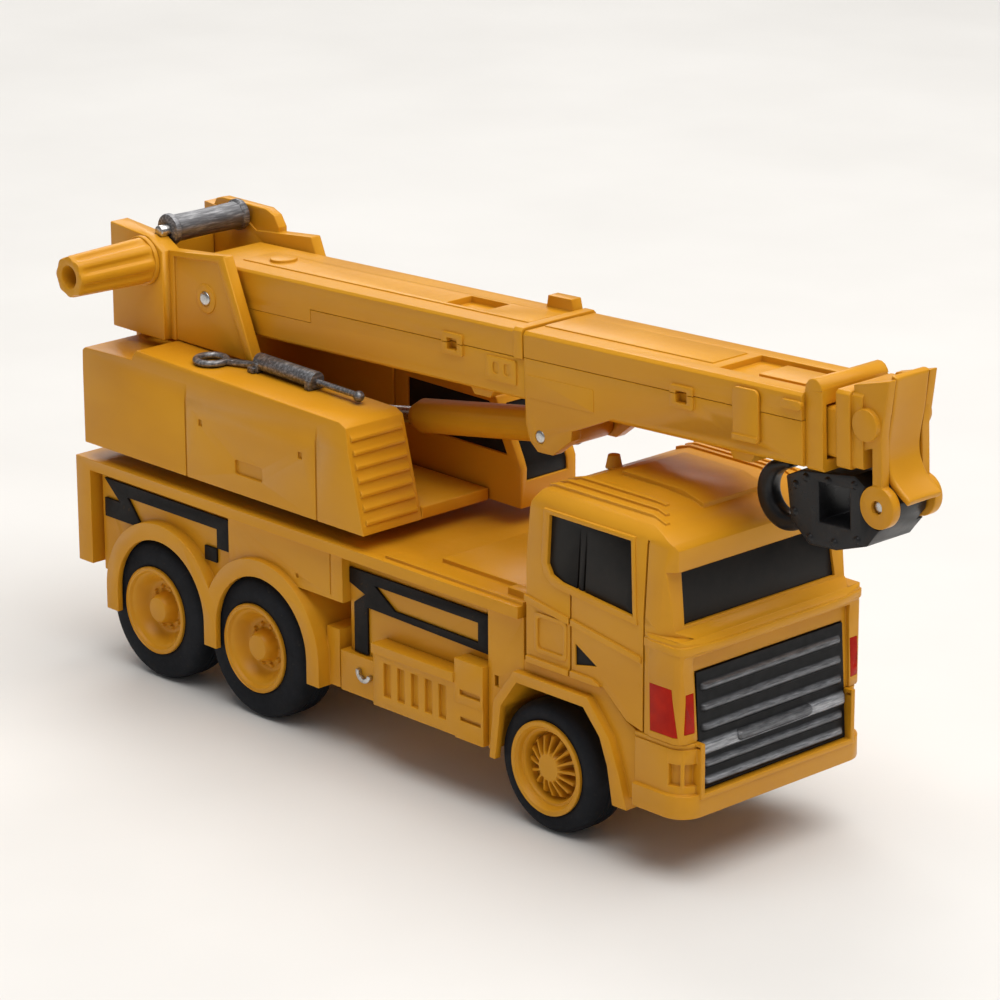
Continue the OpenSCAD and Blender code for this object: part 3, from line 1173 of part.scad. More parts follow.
// Hook block and hook, folded back under the head.
block_outline = [for (p = [
  [-17.4, 1.4], [-14.6, 2.7], [-10.4, 3], [-4.6, 3.7], [-1.6, 1.6], [1.2, 1.9], [2.1, 0.4], [1.6, -1.6],
  [-1.6, -5.2], [-2.4, -6.2], [-8.2, -7.9], [-13.2, -8], [-16.6, -5]]) [hinge_u + p[0], hinge_w + p[1]]];
socket_u = hinge_u - 8.4;
socket_w0 = hinge_w - 1.3;
rivets = [[-15.6, 0.4], [-15.9, -3.6], [-13, -6.9], [-8.4, -6.8], [-4.1, -5.6], [-4.5, 2.3], [-9.4, 2],
  [-13.6, 1.8]];
module hook_block() color(black) in_boom() difference() {
  union() {
    side_plate(block_outline, -block_y, block_y);
    both_sides() for (p = rivets)
      translate([hinge_u + p[0], block_y, hinge_w + p[1]]) rotate([-90, 0, 0])
        cylinder(r1 = 0.65, r2 = 0.35, h = 0.35, $fn = 16);
  }
  box(socket_u - socket_w / 2, socket_u + socket_w / 2, -block_y - 1, block_y + 1, socket_w0 - socket_w / 2,
    socket_w0 + socket_w / 2);
  // The block narrows to a knuckle between the two eyelets
  both_sides() cross_pin(hinge_u, hinge_w, eye_r + free_gap, eye_in_y - free_gap, 10);
  cross_pin(hinge_u, hinge_w, hook_pin_r + pin_gap, -10, 10);
}

hook_u = hinge_u - 19.6;
hook_w = hinge_w - 2.4;
bowl_u = hook_u + 0.9;
bowl_w = hook_w + 0.6;
// Crescent, thickest at the back and foot, with its mouth open towards the block.
module hook() color(black) in_boom() difference() {
  union() {
    difference() {
      cross_pin(hook_u, hook_w, hook_out_r, hook_y - hook_t / 2, hook_y + hook_t / 2);
      cross_pin(bowl_u, bowl_w, hook_in_r, hook_y - hook_t, hook_y + hook_t);
      side_plate([[bowl_u, bowl_w], [hook_u + 1.9, hook_w + 6], [hook_u + 9, hook_w + 6],
        [hook_u + 9, hook_w - 1.6]],
        hook_y - hook_t, hook_y + hook_t);
    }
    // Shank that meets the block
    side_plate([[hook_u + 3, hook_w - 1.9], [hook_u + 6.4, hook_w - 1.2], [hook_u + 6.4, hook_w - 4.6],
      [hook_u + 3, hook_w - 4.2]], hook_y - hook_t / 2, hook_y + hook_t / 2);
  }
  side_plate(block_outline, hook_y - hook_t, hook_y + hook_t);
}

chassis_base();
chassis_body();
base_screws();
slew_ring();
cab_shell();
windscreen();
side_windows();
door_handles();
grille();
headlamps();
front_bumper();
right_side_box();
left_side_box();
side_stripes();
tie_down_hooks();
front_axle();
front_rims();
front_tyres();
middle_axle();
middle_rims();
middle_tyres();
rear_axle();
rear_rims();
rear_tyres();
upper_base();
slew_screw();
right_housing();
left_housing();
stowed_rigging();
operator_cab();
operator_window();
tower_right();
tower_left();
tower_back();
side_boss();
boom_pivot_pin();
winch_spindle();
winch_drum();
rear_boom_lower();
rear_boom_upper();
front_boom_lower();
front_boom_upper();
boom_flange();
boom_screws();
lift_pin();
lift_barrel();
lift_rod();
inner_boom();
head_block();
head_guard();
hook_pin();
hook_block();
hook();
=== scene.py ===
import json
import math

import bmesh
import bpy
import numpy as np
from mathutils import Matrix, Vector


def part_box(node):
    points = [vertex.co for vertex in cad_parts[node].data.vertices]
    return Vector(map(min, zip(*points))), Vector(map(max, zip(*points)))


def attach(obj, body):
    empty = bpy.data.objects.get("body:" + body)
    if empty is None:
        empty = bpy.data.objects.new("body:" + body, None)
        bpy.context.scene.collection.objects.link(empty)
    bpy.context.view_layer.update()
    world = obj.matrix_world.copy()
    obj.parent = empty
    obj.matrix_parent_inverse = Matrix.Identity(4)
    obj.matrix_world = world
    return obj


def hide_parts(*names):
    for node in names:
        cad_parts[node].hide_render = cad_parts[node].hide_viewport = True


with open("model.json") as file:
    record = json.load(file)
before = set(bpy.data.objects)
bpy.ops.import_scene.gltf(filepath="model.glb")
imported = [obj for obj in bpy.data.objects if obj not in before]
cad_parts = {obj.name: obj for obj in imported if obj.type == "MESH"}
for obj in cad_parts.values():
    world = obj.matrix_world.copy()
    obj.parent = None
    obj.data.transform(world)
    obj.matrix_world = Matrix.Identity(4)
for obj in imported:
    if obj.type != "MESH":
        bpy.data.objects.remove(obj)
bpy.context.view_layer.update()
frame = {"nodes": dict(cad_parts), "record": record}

MM = 0.001
RECORD = frame["record"]
NODE_BODY = {node: body for body, nodes in RECORD["behaviour"]["bodies"].items() for node in nodes}
NODE_SLOT = {part["node"]: part["material_slot"] for part in RECORD["subparts"]}


# ---------------------------------------------------------------- materials
class Nodes:
    """Short calls for building one material's node tree."""

    def __init__(self, name):
        self.material = bpy.data.materials.new(name)
        self.material.use_nodes = True
        self.tree = self.material.node_tree
        self.shader = self.tree.nodes["Principled BSDF"]
        self.place = self.add("ShaderNodeTexCoord").outputs["Object"]

    def add(self, kind, **values):
        node = self.tree.nodes.new(kind)
        for key, value in values.items():
            setattr(node, key, value)
        return node

    def link(self, source, socket):
        self.tree.links.new(source, socket)

    def noise(self, size_mm, detail=3.0, rough=0.55, stretch=(1, 1, 1)):
        """Soft noise whose lumps are about size_mm across, and stretch times finer along each axis."""
        mapping = self.add("ShaderNodeMapping")
        mapping.inputs["Scale"].default_value = stretch
        self.link(self.place, mapping.inputs["Vector"])
        node = self.add("ShaderNodeTexNoise")
        node.inputs["Scale"].default_value = 1.0 / (size_mm * MM)
        node.inputs["Detail"].default_value = detail
        node.inputs["Roughness"].default_value = rough
        self.link(mapping.outputs["Vector"], node.inputs["Vector"])
        return node.outputs["Fac"]

    def ramp(self, value, stops):
        """Colours along a value; stops are (place, colour)."""
        node = self.add("ShaderNodeValToRGB")
        ramp = node.color_ramp
        while len(ramp.elements) < len(stops):
            ramp.elements.new(0.5)
        for element, (place, colour) in zip(ramp.elements, stops):
            element.position = place
            element.color = (*colour, 1)
        self.link(value, node.inputs["Fac"])
        return node.outputs["Color"]

    def clouded(self, value, dark, pale):
        """Goes from the dark to the pale colour over the middle of a noise."""
        return self.ramp(value, [(0.3, dark), (0.7, pale)])

    def grey(self, value, low, high, start=0.3, end=0.7):
        """Maps start..end of a value onto low..high."""
        node = self.add("ShaderNodeMapRange")
        for key, number in (("From Min", start), ("From Max", end), ("To Min", low), ("To Max", high)):
            node.inputs[key].default_value = number
        self.link(value, node.inputs["Value"])
        return node.outputs["Result"]

    def relief(self, value, height=1):
        """A noise as heights from 0 to height, over nearly its whole span."""
        return self.grey(value, 0, height, 0.2, 0.8)

    def fill(self, socket, value):
        """Sets a socket to a number or colour, or links a node's output to it."""
        if isinstance(value, (int, float)):
            socket.default_value = value
        elif isinstance(value, tuple):
            socket.default_value = (*value, 1)
        else:
            self.link(value, socket)

    def math(self, kind, a, b):
        node = self.add("ShaderNodeMath", operation=kind)
        for socket, value in zip(node.inputs, (a, b)):
            self.fill(socket, value)
        return node.outputs["Value"]

    def mix(self, factor, a, b):
        """Colour a where the factor is 0, colour b where it is 1."""
        node = self.add("ShaderNodeMix", data_type="RGBA")
        for socket, value in ((node.inputs[0], factor), (node.inputs[6], a), (node.inputs[7], b)):
            self.fill(socket, value)
        return node.outputs[2]

    def bump(self, heights, strength, depth_mm):
        """Adds the heights and turns them into a bump of the given depth."""
        total = heights[0]
        for height in heights[1:]:
            total = self.math("ADD", total, height)
        node = self.add("ShaderNodeBump")
        node.inputs["Strength"].default_value = strength
        node.inputs["Distance"].default_value = depth_mm * MM
        self.link(total, node.inputs["Height"])
        self.link(node.outputs["Normal"], self.shader.inputs["Normal"])

    def crevice(self, reach_mm):
        """1 on open surfaces, falling towards 0 in corners and seams."""
        node = self.add("ShaderNodeAmbientOcclusion", samples=8)
        node.inputs["Distance"].default_value = reach_mm * MM
        return node.outputs["AO"]

    def feed(self, **outputs):
        """Links outputs to the shader's sockets of those names."""
        for key, output in outputs.items():
            self.link(output, self.shader.inputs[key.replace("_", " ")])

    def set(self, **numbers):
        """Sets the shader's sockets of those names, the same all over."""
        for key, number in numbers.items():
            self.shader.inputs[key.replace("_", " ")].default_value = number
        return self


def moulded_yellow():
    """Golden yellow moulded plastic: faint flow marks, painted shade darkening its corners and seams, pale
    specks, a fine satin grain."""
    gold, painted_corner_shade, pale_speck = (0.66, 0.295, 0.012), (0.34, 0.13, 0.008), (0.62, 0.31, 0.03)
    lighter = tuple(min(1, c * f) for c, f in zip(gold, (1.05, 1.08, 1.25)))
    darker = tuple(c * f for c, f in zip(gold, (0.93, 0.9, 0.8)))
    n = Nodes("moulded_yellow")
    flow = n.noise(26, 3, 0.5, (1, 1.6, 2.2))
    speck = n.noise(1.1, 4, 0.65)
    colour = n.ramp(flow, [(0.3, darker), (0.52, gold), (0.72, lighter)])
    # painted shade: corners and seams are darkened towards a deep dark gold
    colour = n.mix(n.grey(n.crevice(1.3), 0.62, 0.0, 0.25, 0.8), colour, painted_corner_shade)
    colour = n.mix(n.grey(speck, 0.0, 0.12, 0.58, 0.75), colour, pale_speck)
    rough = n.math("ADD", n.grey(flow, 0.30, 0.40), n.grey(speck, -0.03, 0.07))
    n.feed(Base_Color=colour, Roughness=rough)
    grain = n.relief(n.noise(0.22, 2, 0.6), 0.5)
    sink = n.relief(n.noise(9, 2, 0.5))
    n.bump([grain, sink], 0.35, 0.02)
    return n.set(Specular_IOR_Level=0.22, Coat_Weight=0.04, Coat_Roughness=0.2).material


def glossy_black():
    """Black moulded plastic with a soft gloss, faint dust and a fine grain."""
    black, dusty, gloss = (0.012, 0.012, 0.013), (0.06, 0.055, 0.05), 0.22
    n = Nodes("glossy_black")
    dust = n.noise(1.6, 5, 0.7)
    cloud = n.noise(7, 2, 0.5)
    rough = n.math("ADD", n.grey(cloud, gloss, gloss + 0.12), n.grey(dust, 0, 0.12))
    n.feed(Base_Color=n.mix(n.grey(dust, 0.0, 0.35, 0.55, 0.8), black, dusty), Roughness=rough)
    n.bump([n.relief(n.noise(0.3, 2))], 0.25, 0.015)
    return n.set(Specular_IOR_Level=0.28).material


def raised_print():
    """Satin black paint on the raised outlines, worn thin here and there, where the yellow shows
    through."""
    black, brownish, worn = (0.005, 0.0045, 0.0045), (0.012, 0.010, 0.009), (0.30, 0.15, 0.03)
    n = Nodes("raised_print")
    wear = n.noise(0.9, 5, 0.7)
    patch = n.noise(6, 2, 0.5)
    worn_spots = n.math("MULTIPLY", n.grey(wear, 0, 1, 0.6, 0.75), n.grey(patch, 0, 1, 0.5, 0.7))
    colour = n.mix(n.math("MULTIPLY", worn_spots, 0.6), n.clouded(patch, black, brownish), worn)
    n.feed(Base_Color=colour, Roughness=n.grey(wear, 0.42, 0.6))
    n.bump([n.relief(n.noise(0.35, 3))], 0.3, 0.02)
    return n.set(Specular_IOR_Level=0.15).material


def dark_glazing():
    """Near-black brown window paint with a broad sheen and a little haze."""
    n = Nodes("dark_glazing")
    haze = n.noise(5, 4, 0.6)
    colour = n.clouded(haze, (0.008, 0.007, 0.0065), (0.016, 0.014, 0.012))
    n.feed(Base_Color=colour, Roughness=n.grey(haze, 0.30, 0.42))
    n.bump([n.relief(n.noise(0.8, 3))], 0.2, 0.012)
    return n.set(Specular_IOR_Level=0.14).material


def gunmetal():
    """Dark metallic paint with bright streaks along the truck, which are painted highlights, and corners
    darkened as painted shade.
    """
    dark, painted_highlight, painted_corner_shade = (0.10, 0.10, 0.105), (0.46, 0.46, 0.47), (0.012, 0.012, 0.013)
    n = Nodes("gunmetal")
    streak_and_highlight = n.noise(1.2, 4, 0.6, (3, 0.35, 3))
    blotch = n.noise(4, 3, 0.6)
    # painted highlight: the streaks run from the dark paint up to a bright pale grey
    colour = n.ramp(streak_and_highlight, [(0.3, dark), (0.5, tuple(c * 2 for c in dark)), (0.7, painted_highlight)])
    # painted shade: corners and seams are darkened towards near-black
    colour = n.mix(n.grey(n.crevice(0.8), 0.75, 0, 0.3, 0.9), colour, painted_corner_shade)
    n.feed(Base_Color=colour, Roughness=n.grey(blotch, 0.34, 0.52))
    n.bump([n.relief(streak_and_highlight)], 0.25, 0.02)
    return n.set(Metallic=0.75).material


def bright_steel():
    """Turned steel pin: fine rings of scratches and a little tarnish."""
    n = Nodes("bright_steel")
    scratch = n.noise(0.25, 4, 0.6, (1, 4, 1))
    colour = n.clouded(n.noise(2, 3, 0.6), (0.42, 0.41, 0.39), (0.66, 0.65, 0.63))
    n.feed(Base_Color=colour, Roughness=n.grey(scratch, 0.2, 0.38))
    n.bump([n.relief(scratch)], 0.3, 0.01)
    return n.set(Metallic=1.0).material


def lamp_red():
    """Deep red lamp lens, slightly cloudy, with a faint ripple."""
    n = Nodes("lamp_red")
    cloud = n.noise(2.5, 3, 0.5)
    colour = n.clouded(cloud, (0.36, 0.007, 0.002), (0.50, 0.016, 0.003))
    n.feed(Base_Color=colour, Roughness=n.grey(cloud, 0.34, 0.46))
    n.bump([n.relief(n.noise(0.6, 2))], 0.25, 0.02)
    return n.set(Specular_IOR_Level=0.1).material


def tyre_rubber():
    """Matt bluish-black tyre rubber with pale dust on it."""
    blue_black, worn_black, pale_dust = (0.007, 0.008, 0.011), (0.013, 0.015, 0.019), (0.10, 0.085, 0.065)
    n = Nodes("tyre_rubber")
    dust = n.noise(1.4, 5, 0.7)
    colour = n.clouded(n.noise(7, 3, 0.6), blue_black, worn_black)
    colour = n.mix(n.grey(dust, 0, 0.35, 0.6, 0.8), colour, pale_dust)
    n.feed(Base_Color=colour, Roughness=n.grey(dust, 0.62, 0.8))
    n.bump([n.relief(n.noise(0.35, 4, 0.7))], 0.4, 0.03)
    return n.set(Specular_IOR_Level=0.18).material


def ribbed_paint():
    """Black grille field, whose ribs and bar brighten to brushed silver by a value stored at each point:
    the bar's silver is its real paint, the silver on the ribs is a painted highlight, and the groove round
    the plate is painted shade.
    """
    n = Nodes("ribbed_paint")
    shine = n.add("ShaderNodeAttribute", attribute_name="shine").outputs["Fac"]
    rub = n.noise(0.8, 4, 0.65, (1, 0.3, 3))
    paint = n.math("MULTIPLY", shine, n.grey(rub, 0.55, 1.1))
    silver = n.clouded(rub, (0.30, 0.31, 0.33), (0.52, 0.53, 0.56))
    field = n.clouded(n.noise(2.0), (0.006, 0.006, 0.007), (0.014, 0.014, 0.015))
    n.feed(Base_Color=n.mix(paint, field, silver), Metallic=n.grey(paint, 0.1, 0.85, 0, 1),
           Roughness=n.grey(rub, 0.32, 0.5))
    n.bump([n.relief(rub)], 0.25, 0.015)
    return n.set(Specular_IOR_Level=0.15).material


FINISH = {
    "yellow_plastic": moulded_yellow(),
    "black_print": raised_print(),
    "dark_glazing": dark_glazing(),
    "gunmetal_plastic": gunmetal(),
    "black_plastic": glossy_black(),
    "lamp_red": lamp_red(),
    "steel": bright_steel(),
    "tyre_rubber": tyre_rubber(),
}
GRILLE_PAINT = ribbed_paint()


# ---------------------------------------------------------------- pieces from the CAD shells
def paint(piece, finish):
    """Gives the whole piece one finish."""
    piece.data.materials.clear()
    piece.data.materials.append(finish)


def keep(piece, node, finish=None):
    """Rides a new piece on its node's body, hides the node and gives the piece the node's finish, or
    the one named."""
    slot = NODE_SLOT[node]
    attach(piece, NODE_BODY[node])
    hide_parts(node)
    paint(piece, finish or FINISH[slot])


def new_object(name, data):
    """Puts a mesh, lamp or lens into the scene."""
    piece = bpy.data.objects.new(name, data)
    bpy.context.scene.collection.objects.link(piece)
    return piece


WELD_MM = 0.004          # corners nearer than this are one corner
FLAT_DEGREES = 0.2       # faces turned less than this are one flat
SHARP_DEGREES = 32       # edges turned more than this are rounded
ROOM_SHARE = 0.42        # the most that a rounding takes of the room beside its edge
LEAST_ROUND_MM = 0.02    # edges with room for less than this stay sharp
TINY = 1e-18             # keeps a division by the square of a zero length finite


def room_beside(edge, sharp):
    """Length free for rounding at an edge: the least of its own length, those of the sharp edges that
    meet it, and the distance between its ends and any other sharp edge of its two faces."""
    room = edge.calc_length()
    p, q = edge.verts[0].co, edge.verts[1].co
    for vert in edge.verts:
        for other in vert.link_edges:
            if other in sharp:
                room = min(room, other.calc_length())
    for face in edge.link_faces:
        for other in face.edges:
            if other is edge or other not in sharp or set(other.verts) & set(edge.verts):
                continue
            a, b = other.verts[0].co, other.verts[1].co
            for point, start, end in ((p, a, b), (q, a, b), (a, p, q), (b, p, q)):
                along = (end - start).dot(point - start) / max((end - start).length_squared, TINY)
                near = start + (end - start) * min(1, max(0, along))
                room = min(room, (near - point).length)
    return room


def softened(node, edge_mm):
    """A copy of a CAD shell with its triangles merged, its flats joined and every edge rounded by
    edge_mm, or by less where there is little room."""
    name = node + "_moulding"
    mesh = frame["nodes"][node].data.copy()
    mesh.name = name
    work = bmesh.new()
    work.from_mesh(mesh)
    bmesh.ops.remove_doubles(work, verts=work.verts, dist=WELD_MM * MM)
    bmesh.ops.dissolve_degenerate(work, dist=WELD_MM * MM, edges=work.edges)
    bmesh.ops.dissolve_limit(work, angle_limit=math.radians(FLAT_DEGREES), verts=work.verts,
                             edges=work.edges, use_dissolve_boundaries=False)
    weight = work.edges.layers.float.new("bevel_weight_edge")
    sharp = {edge for edge in work.edges
             if len(edge.link_faces) == 2 and edge.calc_face_angle(0) > math.radians(SHARP_DEGREES)}
    for edge in sharp:
        share = min(1, ROOM_SHARE * room_beside(edge, sharp) / (edge_mm * MM))
        edge.smooth = share * edge_mm > LEAST_ROUND_MM
        edge[weight] = share if edge.smooth else 0
    work.to_mesh(mesh)
    work.free()
    mesh.shade_smooth()
    piece = new_object(name, mesh)
    bevel = piece.modifiers.new("rounded_edges", "BEVEL")
    bevel.width = edge_mm * MM
    bevel.segments = 2
    bevel.limit_method = "WEIGHT"
    bevel.use_clamp_overlap = False
    bevel.loop_slide = False
    bevel.harden_normals = True
    keep(piece, node)


EDGE_RADIUS = {
    "chassis_base": 0.15, "chassis_body": 0.1, "slew_ring": 0.2, "cab_shell": 0.09, "windscreen": 0.1,
    "side_windows": 0.08, "door_handles": 0.05, "headlamps": 0.1, "front_bumper": 0.18,
    "right_side_box": 0.14, "left_side_box": 0.14, "side_stripes": 0.1, "tie_down_hooks": 0.1,
    "upper_base": 0.2, "right_housing": 0.15, "left_housing": 0.15, "stowed_rigging": 0.1,
    "operator_cab": 0.2, "operator_window": 0.06, "tower_right": 0.2, "tower_left": 0.2, "tower_back": 0.2,
    "rear_boom_lower": 0.12, "rear_boom_upper": 0.12, "front_boom_lower": 0.12,
    "front_boom_upper": 0.12, "boom_flange": 0.2, "inner_boom": 0.2, "head_block": 0.18,
    "hook_block": 0.2, "lift_barrel": 0.2,
}
for node_name, radius in EDGE_RADIUS.items():
    softened(node_name, radius)


# ---------------------------------------------------------------- pieces built as surfaces
class Shell:
    """Collects patches of points, in millimetres, and joins them into one closed mesh."""

    def __init__(self):
        self.points, self.faces, self.total = [], [], 0

    def add(self, points):
        """Takes in an array of points and gives back their numbers in the mesh, in the same layout."""
        index = self.total + np.arange(points[..., 0].size).reshape(points.shape[:-1])
        self.points.append(points.reshape(-1, 3))
        self.total += index.size
        return index

    def grid(self, points, rows_close=False, columns_close=False):
        """Joins a rows x columns x 3 array of points into quads, closing either way round if asked."""
        index = self.add(points)
        ring = np.vstack((index, index[:1])) if rows_close else index
        ring = np.hstack((ring, ring[:, :1])) if columns_close else ring
        quads = np.stack((ring[:-1, :-1], ring[1:, :-1], ring[1:, 1:], ring[:-1, 1:]), -1)
        self.faces += quads.reshape(-1, 4).tolist()
        return index

    def fan(self, ring, apex):
        """Closes a ring of points onto one point."""
        tip = int(self.add(np.array([apex], float))[0])
        triangles = np.stack((ring, np.roll(ring, -1), np.full(ring.shape, tip)), -1)
        self.faces += triangles.tolist()

    def cap(self, ring):
        """Closes a ring of points with one flat face."""
        self.faces.append(ring.tolist())

    def mesh(self, name, crease=38):
        """The closed mesh, faces outwards, smooth except at edges turned by over crease degrees."""
        mesh = bpy.data.meshes.new(name)
        mesh.from_pydata((np.concatenate(self.points) * MM).tolist(), [], self.faces)
        work = bmesh.new()
        work.from_mesh(mesh)
        bmesh.ops.recalc_face_normals(work, faces=work.faces)
        work.to_mesh(mesh)
        work.free()
        mesh.shade_smooth()
        mesh.set_sharp_from_angle(angle=math.radians(crease))
        return mesh

    def stand_for(self, node, ending):
        """Makes the mesh a piece, named after its node, in place of the node."""
        name = node + ending
        keep(new_object(name, self.mesh(name)), node)


def smooth(value, start, end):
    """Eases from 0 to 1 as the value goes from start to end: 3t^2 - 2t^3 of the clamped fraction t."""
    t = np.clip((value - start) / (end - start), 0, 1)
    return t * t * (3 - 2 * t)


def through(points, count):
    """A Catmull-Rom curve through the points, with count samples spread evenly along the control polygon.
    Each end leaves along its last straight, because the point beyond it mirrors the one before it."""
    p = np.array(points, float)
    ring = np.vstack((2 * p[:1] - p[1:2], p, 2 * p[-1:] - p[-2:-1]))
    spans = len(ring) - 3
    steps = np.linalg.norm(ring[2:-1] - ring[1:-2], axis=1)
    reach = np.concatenate(([0], np.cumsum(steps)))
    at = np.linspace(0, reach[-1], count)
    span = np.clip(np.searchsorted(reach, at, side="right") - 1, 0, spans - 1)
    t = ((at - reach[span]) / steps[span])[:, None]
    a, b, c, d = (ring[span + k] for k in range(4))
    square, cube = 2 * a - 5 * b + 4 * c - d, 3 * b - a - 3 * c + d
    return 0.5 * (2 * b + (c - a) * t + square * t**2 + cube * t**3)


def box_mm(node):
    """A node's lowest and highest corners, in millimetres."""
    return [np.array(corner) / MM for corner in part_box(node)]


def middle_xz(node):
    """Where the line along Y through the middle of a node stands."""
    low, high = box_mm(node)
    return (low[0] + high[0]) / 2, (low[2] + high[2]) / 2


def full_turn(columns):
    """Even angles once round, one for each column: 2 pi k / columns."""
    return 2 * np.pi * np.arange(columns) / columns


def even_runs(*runs):
    """A column of numbers in even runs, each given as (first, last, count)."""
    return np.concatenate([np.linspace(*run) for run in runs])[:, None]


def turned(rows, columns):
    """Carries rows of (radius, height) once round, as a grid of radii and a grid of heights."""
    rows = np.array(rows)
    return tuple(np.repeat(rows[:, k, None], columns, 1) for k in (0, 1))


def spun(shell, radius, height, middle, start_y=0.0, side=1, ring=False):
    """A turned surface about the line along Y at middle, x and z. Row i at angle a has the point (radius
    cos a, radius sin a), height from start_y towards side, so a radius or height that changes along the
    columns gives spokes, flutes or bolts. A ring joins its last row to its first; anything else has both
    ends closed."""
    angle = full_turn(radius.shape[1])

    def place(x, z, h):
        return np.stack((middle[0] + x, start_y + side * h, middle[1] + z), -1)

    points = place(radius * np.cos(angle), radius * np.sin(angle), height)
    index = shell.grid(points, rows_close=ring, columns_close=True)
    if not ring:
        for row in (0, -1):
            shell.fan(index[row], place(0.0, 0.0, height[row].mean()))


RIM_R, SEAT_R, TYRE_W, PIN_R = 7.3, 6.4, 7.2, 1.0
RIM_FACE_Y = 18.6


def wheel_pair(node, radius, height, ending, ring=False):
    """Turns a wheel part on both sides of an axle, its height running inward from the rims' faces."""
    shell = Shell()
    for side in (-1, 1):
        spun(shell, radius, height, middle_xz(node), side * RIM_FACE_Y, -side, ring)
    shell.stand_for(node, ending)


def rim_pair(node, r, depth, ending):
    """Two rims from their face, of depth(r, angle), and the rows behind it, of radius and depth: the
    outside of the rounded lip, the tyre's seat, the hollow back and the blind bore for the axle."""
    lip_w, back_w, hub_back, bore_floor = 0.7, TYRE_W + 0.7, 4.9, 1.3
    barrel_r, barrel_depth = turned([
        (RIM_R - 0.12, 0.03), (RIM_R, 0.16), (RIM_R, 0.6), (RIM_R - 0.1, lip_w), (SEAT_R + 0.1, lip_w),
        (SEAT_R, 0.8), (SEAT_R, TYRE_W + 0.5), (SEAT_R - 0.2, back_w), (SEAT_R - 1.0, back_w),
        (SEAT_R - 1.2, TYRE_W + 0.5), (SEAT_R - 1.2, hub_back), (PIN_R + 0.2, hub_back),
        (PIN_R, hub_back - 0.1), (PIN_R, bore_floor + 0.04), (PIN_R - 0.02, bore_floor)], depth.shape[1])
    radius = np.vstack((np.repeat(r, depth.shape[1], 1), barrel_r))
    wheel_pair(node, radius, np.vstack((depth, barrel_depth)), ending)


def lip_roll(r):
    """How much deeper the face lies at the lip's outer edge, where it rounds over."""
    return 0.03 * smooth(r, 7.0, 7.2)


def spoked_rim(node):
    """A dished rim with sixteen spokes. Its face is a polar height field: depth d(r, a) falls from the
    flat hub over the spokes, whose width is a raised cosine of 16a that narrows outward, to the gaps
    between them; then the dish wall rises to a step and a rounded lip."""
    spokes, hub_depth, spoke_fall, gap_fall, dish_depth, spoke_end = 16, 0.62, 1.15, 2.25, 2.85, 4.7
    angle = full_turn(384)
    r = even_runs((0.3, 2.0, 6), (2.15, 5.1, 22), (5.2, 6.3, 12), (6.36, RIM_R - 0.2, 9))
    ridge = 0.5 + 0.5 * np.cos(spokes * angle)[None, :]
    spoke = smooth(ridge, 0.30 + 0.05 * smooth(r, 2, 5), 0.86)
    crest = hub_depth + spoke_fall * smooth(r, 1.6, 5.6)
    gap = hub_depth + gap_fall * smooth(r, 1.9, 3.2)
    dish = gap + (crest - gap) * spoke
    wall = dish_depth - 1.75 * smooth(r, 4.9, 5.6) - 0.75 * smooth(r, 5.95, 6.3)
    depth = np.where(r < spoke_end, dish, dish + (wall - dish) * smooth(r, spoke_end, 5.15))
    depth = depth - 0.35 * smooth(r, 6.3, 6.55) + lip_roll(r) + 0.05
    rim_pair(node, r, depth, "_spoked")


def dished_rim(node):
    """A deep rim: a domed hub, ten small bolts on the floor at radius 3.4, a smooth bowl wall and a broad
    rounded lip. A bolt is a round bump, whose height eases to nothing with the distance from its middle."""
    bolts, bolt_circle, bolt_height, hub_depth, bowl_depth = 10, 3.4, 0.55, 0.62, 3.25
    angle = full_turn(240)
    r = even_runs((0.3, 2.6, 12), (2.7, 4.3, 18), (4.4, 6.2, 12), (6.3, RIM_R - 0.2, 9))
    hub = hub_depth + 0.18 * (r / 2.2) ** 2 + 2.0 * smooth(r, 2.0, 2.9)
    turn = (angle[None, :] * bolts / (2 * np.pi) + 0.5) % 1 - 0.5
    away = np.hypot(r - bolt_circle, turn * 2 * np.pi / bolts * r)
    bumps = bolt_height * (1 - smooth(away, 0.22, 0.52))
    wall = 2.2 * smooth(r, 4.2, 6.25)
    bowl = bowl_depth - 0.35 * smooth(r, 2.9, 4.2) - wall - 0.55 * smooth(r, 6.2, 6.6)
    rim_pair(node, r, np.minimum(hub, bowl) - bumps + lip_roll(r), "_dished")


def tyre(node):
    """A closed turned section: an upright bead ring by the rim, a side wall that bellies out, a round
    shoulder, a flat tread and a plainer wall inward. Each of the tread's three shallow grooves is
    exp(-((y - c) / w)^4) deep."""
    grooves, groove_depth, groove_w = (3.55, 4.45, 5.3), 0.28, 0.17
    low, high = box_mm(node)
    big = (high[2] - low[2]) / 2
    bead = [(SEAT_R, 1.5), (SEAT_R, 0.78), (SEAT_R + 0.15, 0.72), (SEAT_R + 0.95, 0.72),
            (SEAT_R + 1.2, 0.52)]
    wall = through([bead[-1], ((SEAT_R + big) / 2 + 0.3, 0.46), (big - 0.85, 0.75), (big - 0.22, 1.6),
                    (big - 0.02, 2.9)], 22)
    across = np.linspace(3.0, TYRE_W - 1.4, 37)
    groove = sum(groove_depth * np.exp(-(((across - c) / groove_w) ** 4)) for c in grooves)
    tread = np.stack((big - groove, across), -1)
    inner = through([(big - 0.02, TYRE_W - 1.2), (big - 0.3, TYRE_W - 0.1), (big - 1.3, TYRE_W + 0.5),
                     (SEAT_R + 0.6, TYRE_W + 0.5), (SEAT_R, TYRE_W + 0.3)], 18)
    radius, height = turned(np.vstack((bead, wall[1:], tread, inner)), 144)
    wheel_pair(node, radius, height, "_rounded", ring=True)


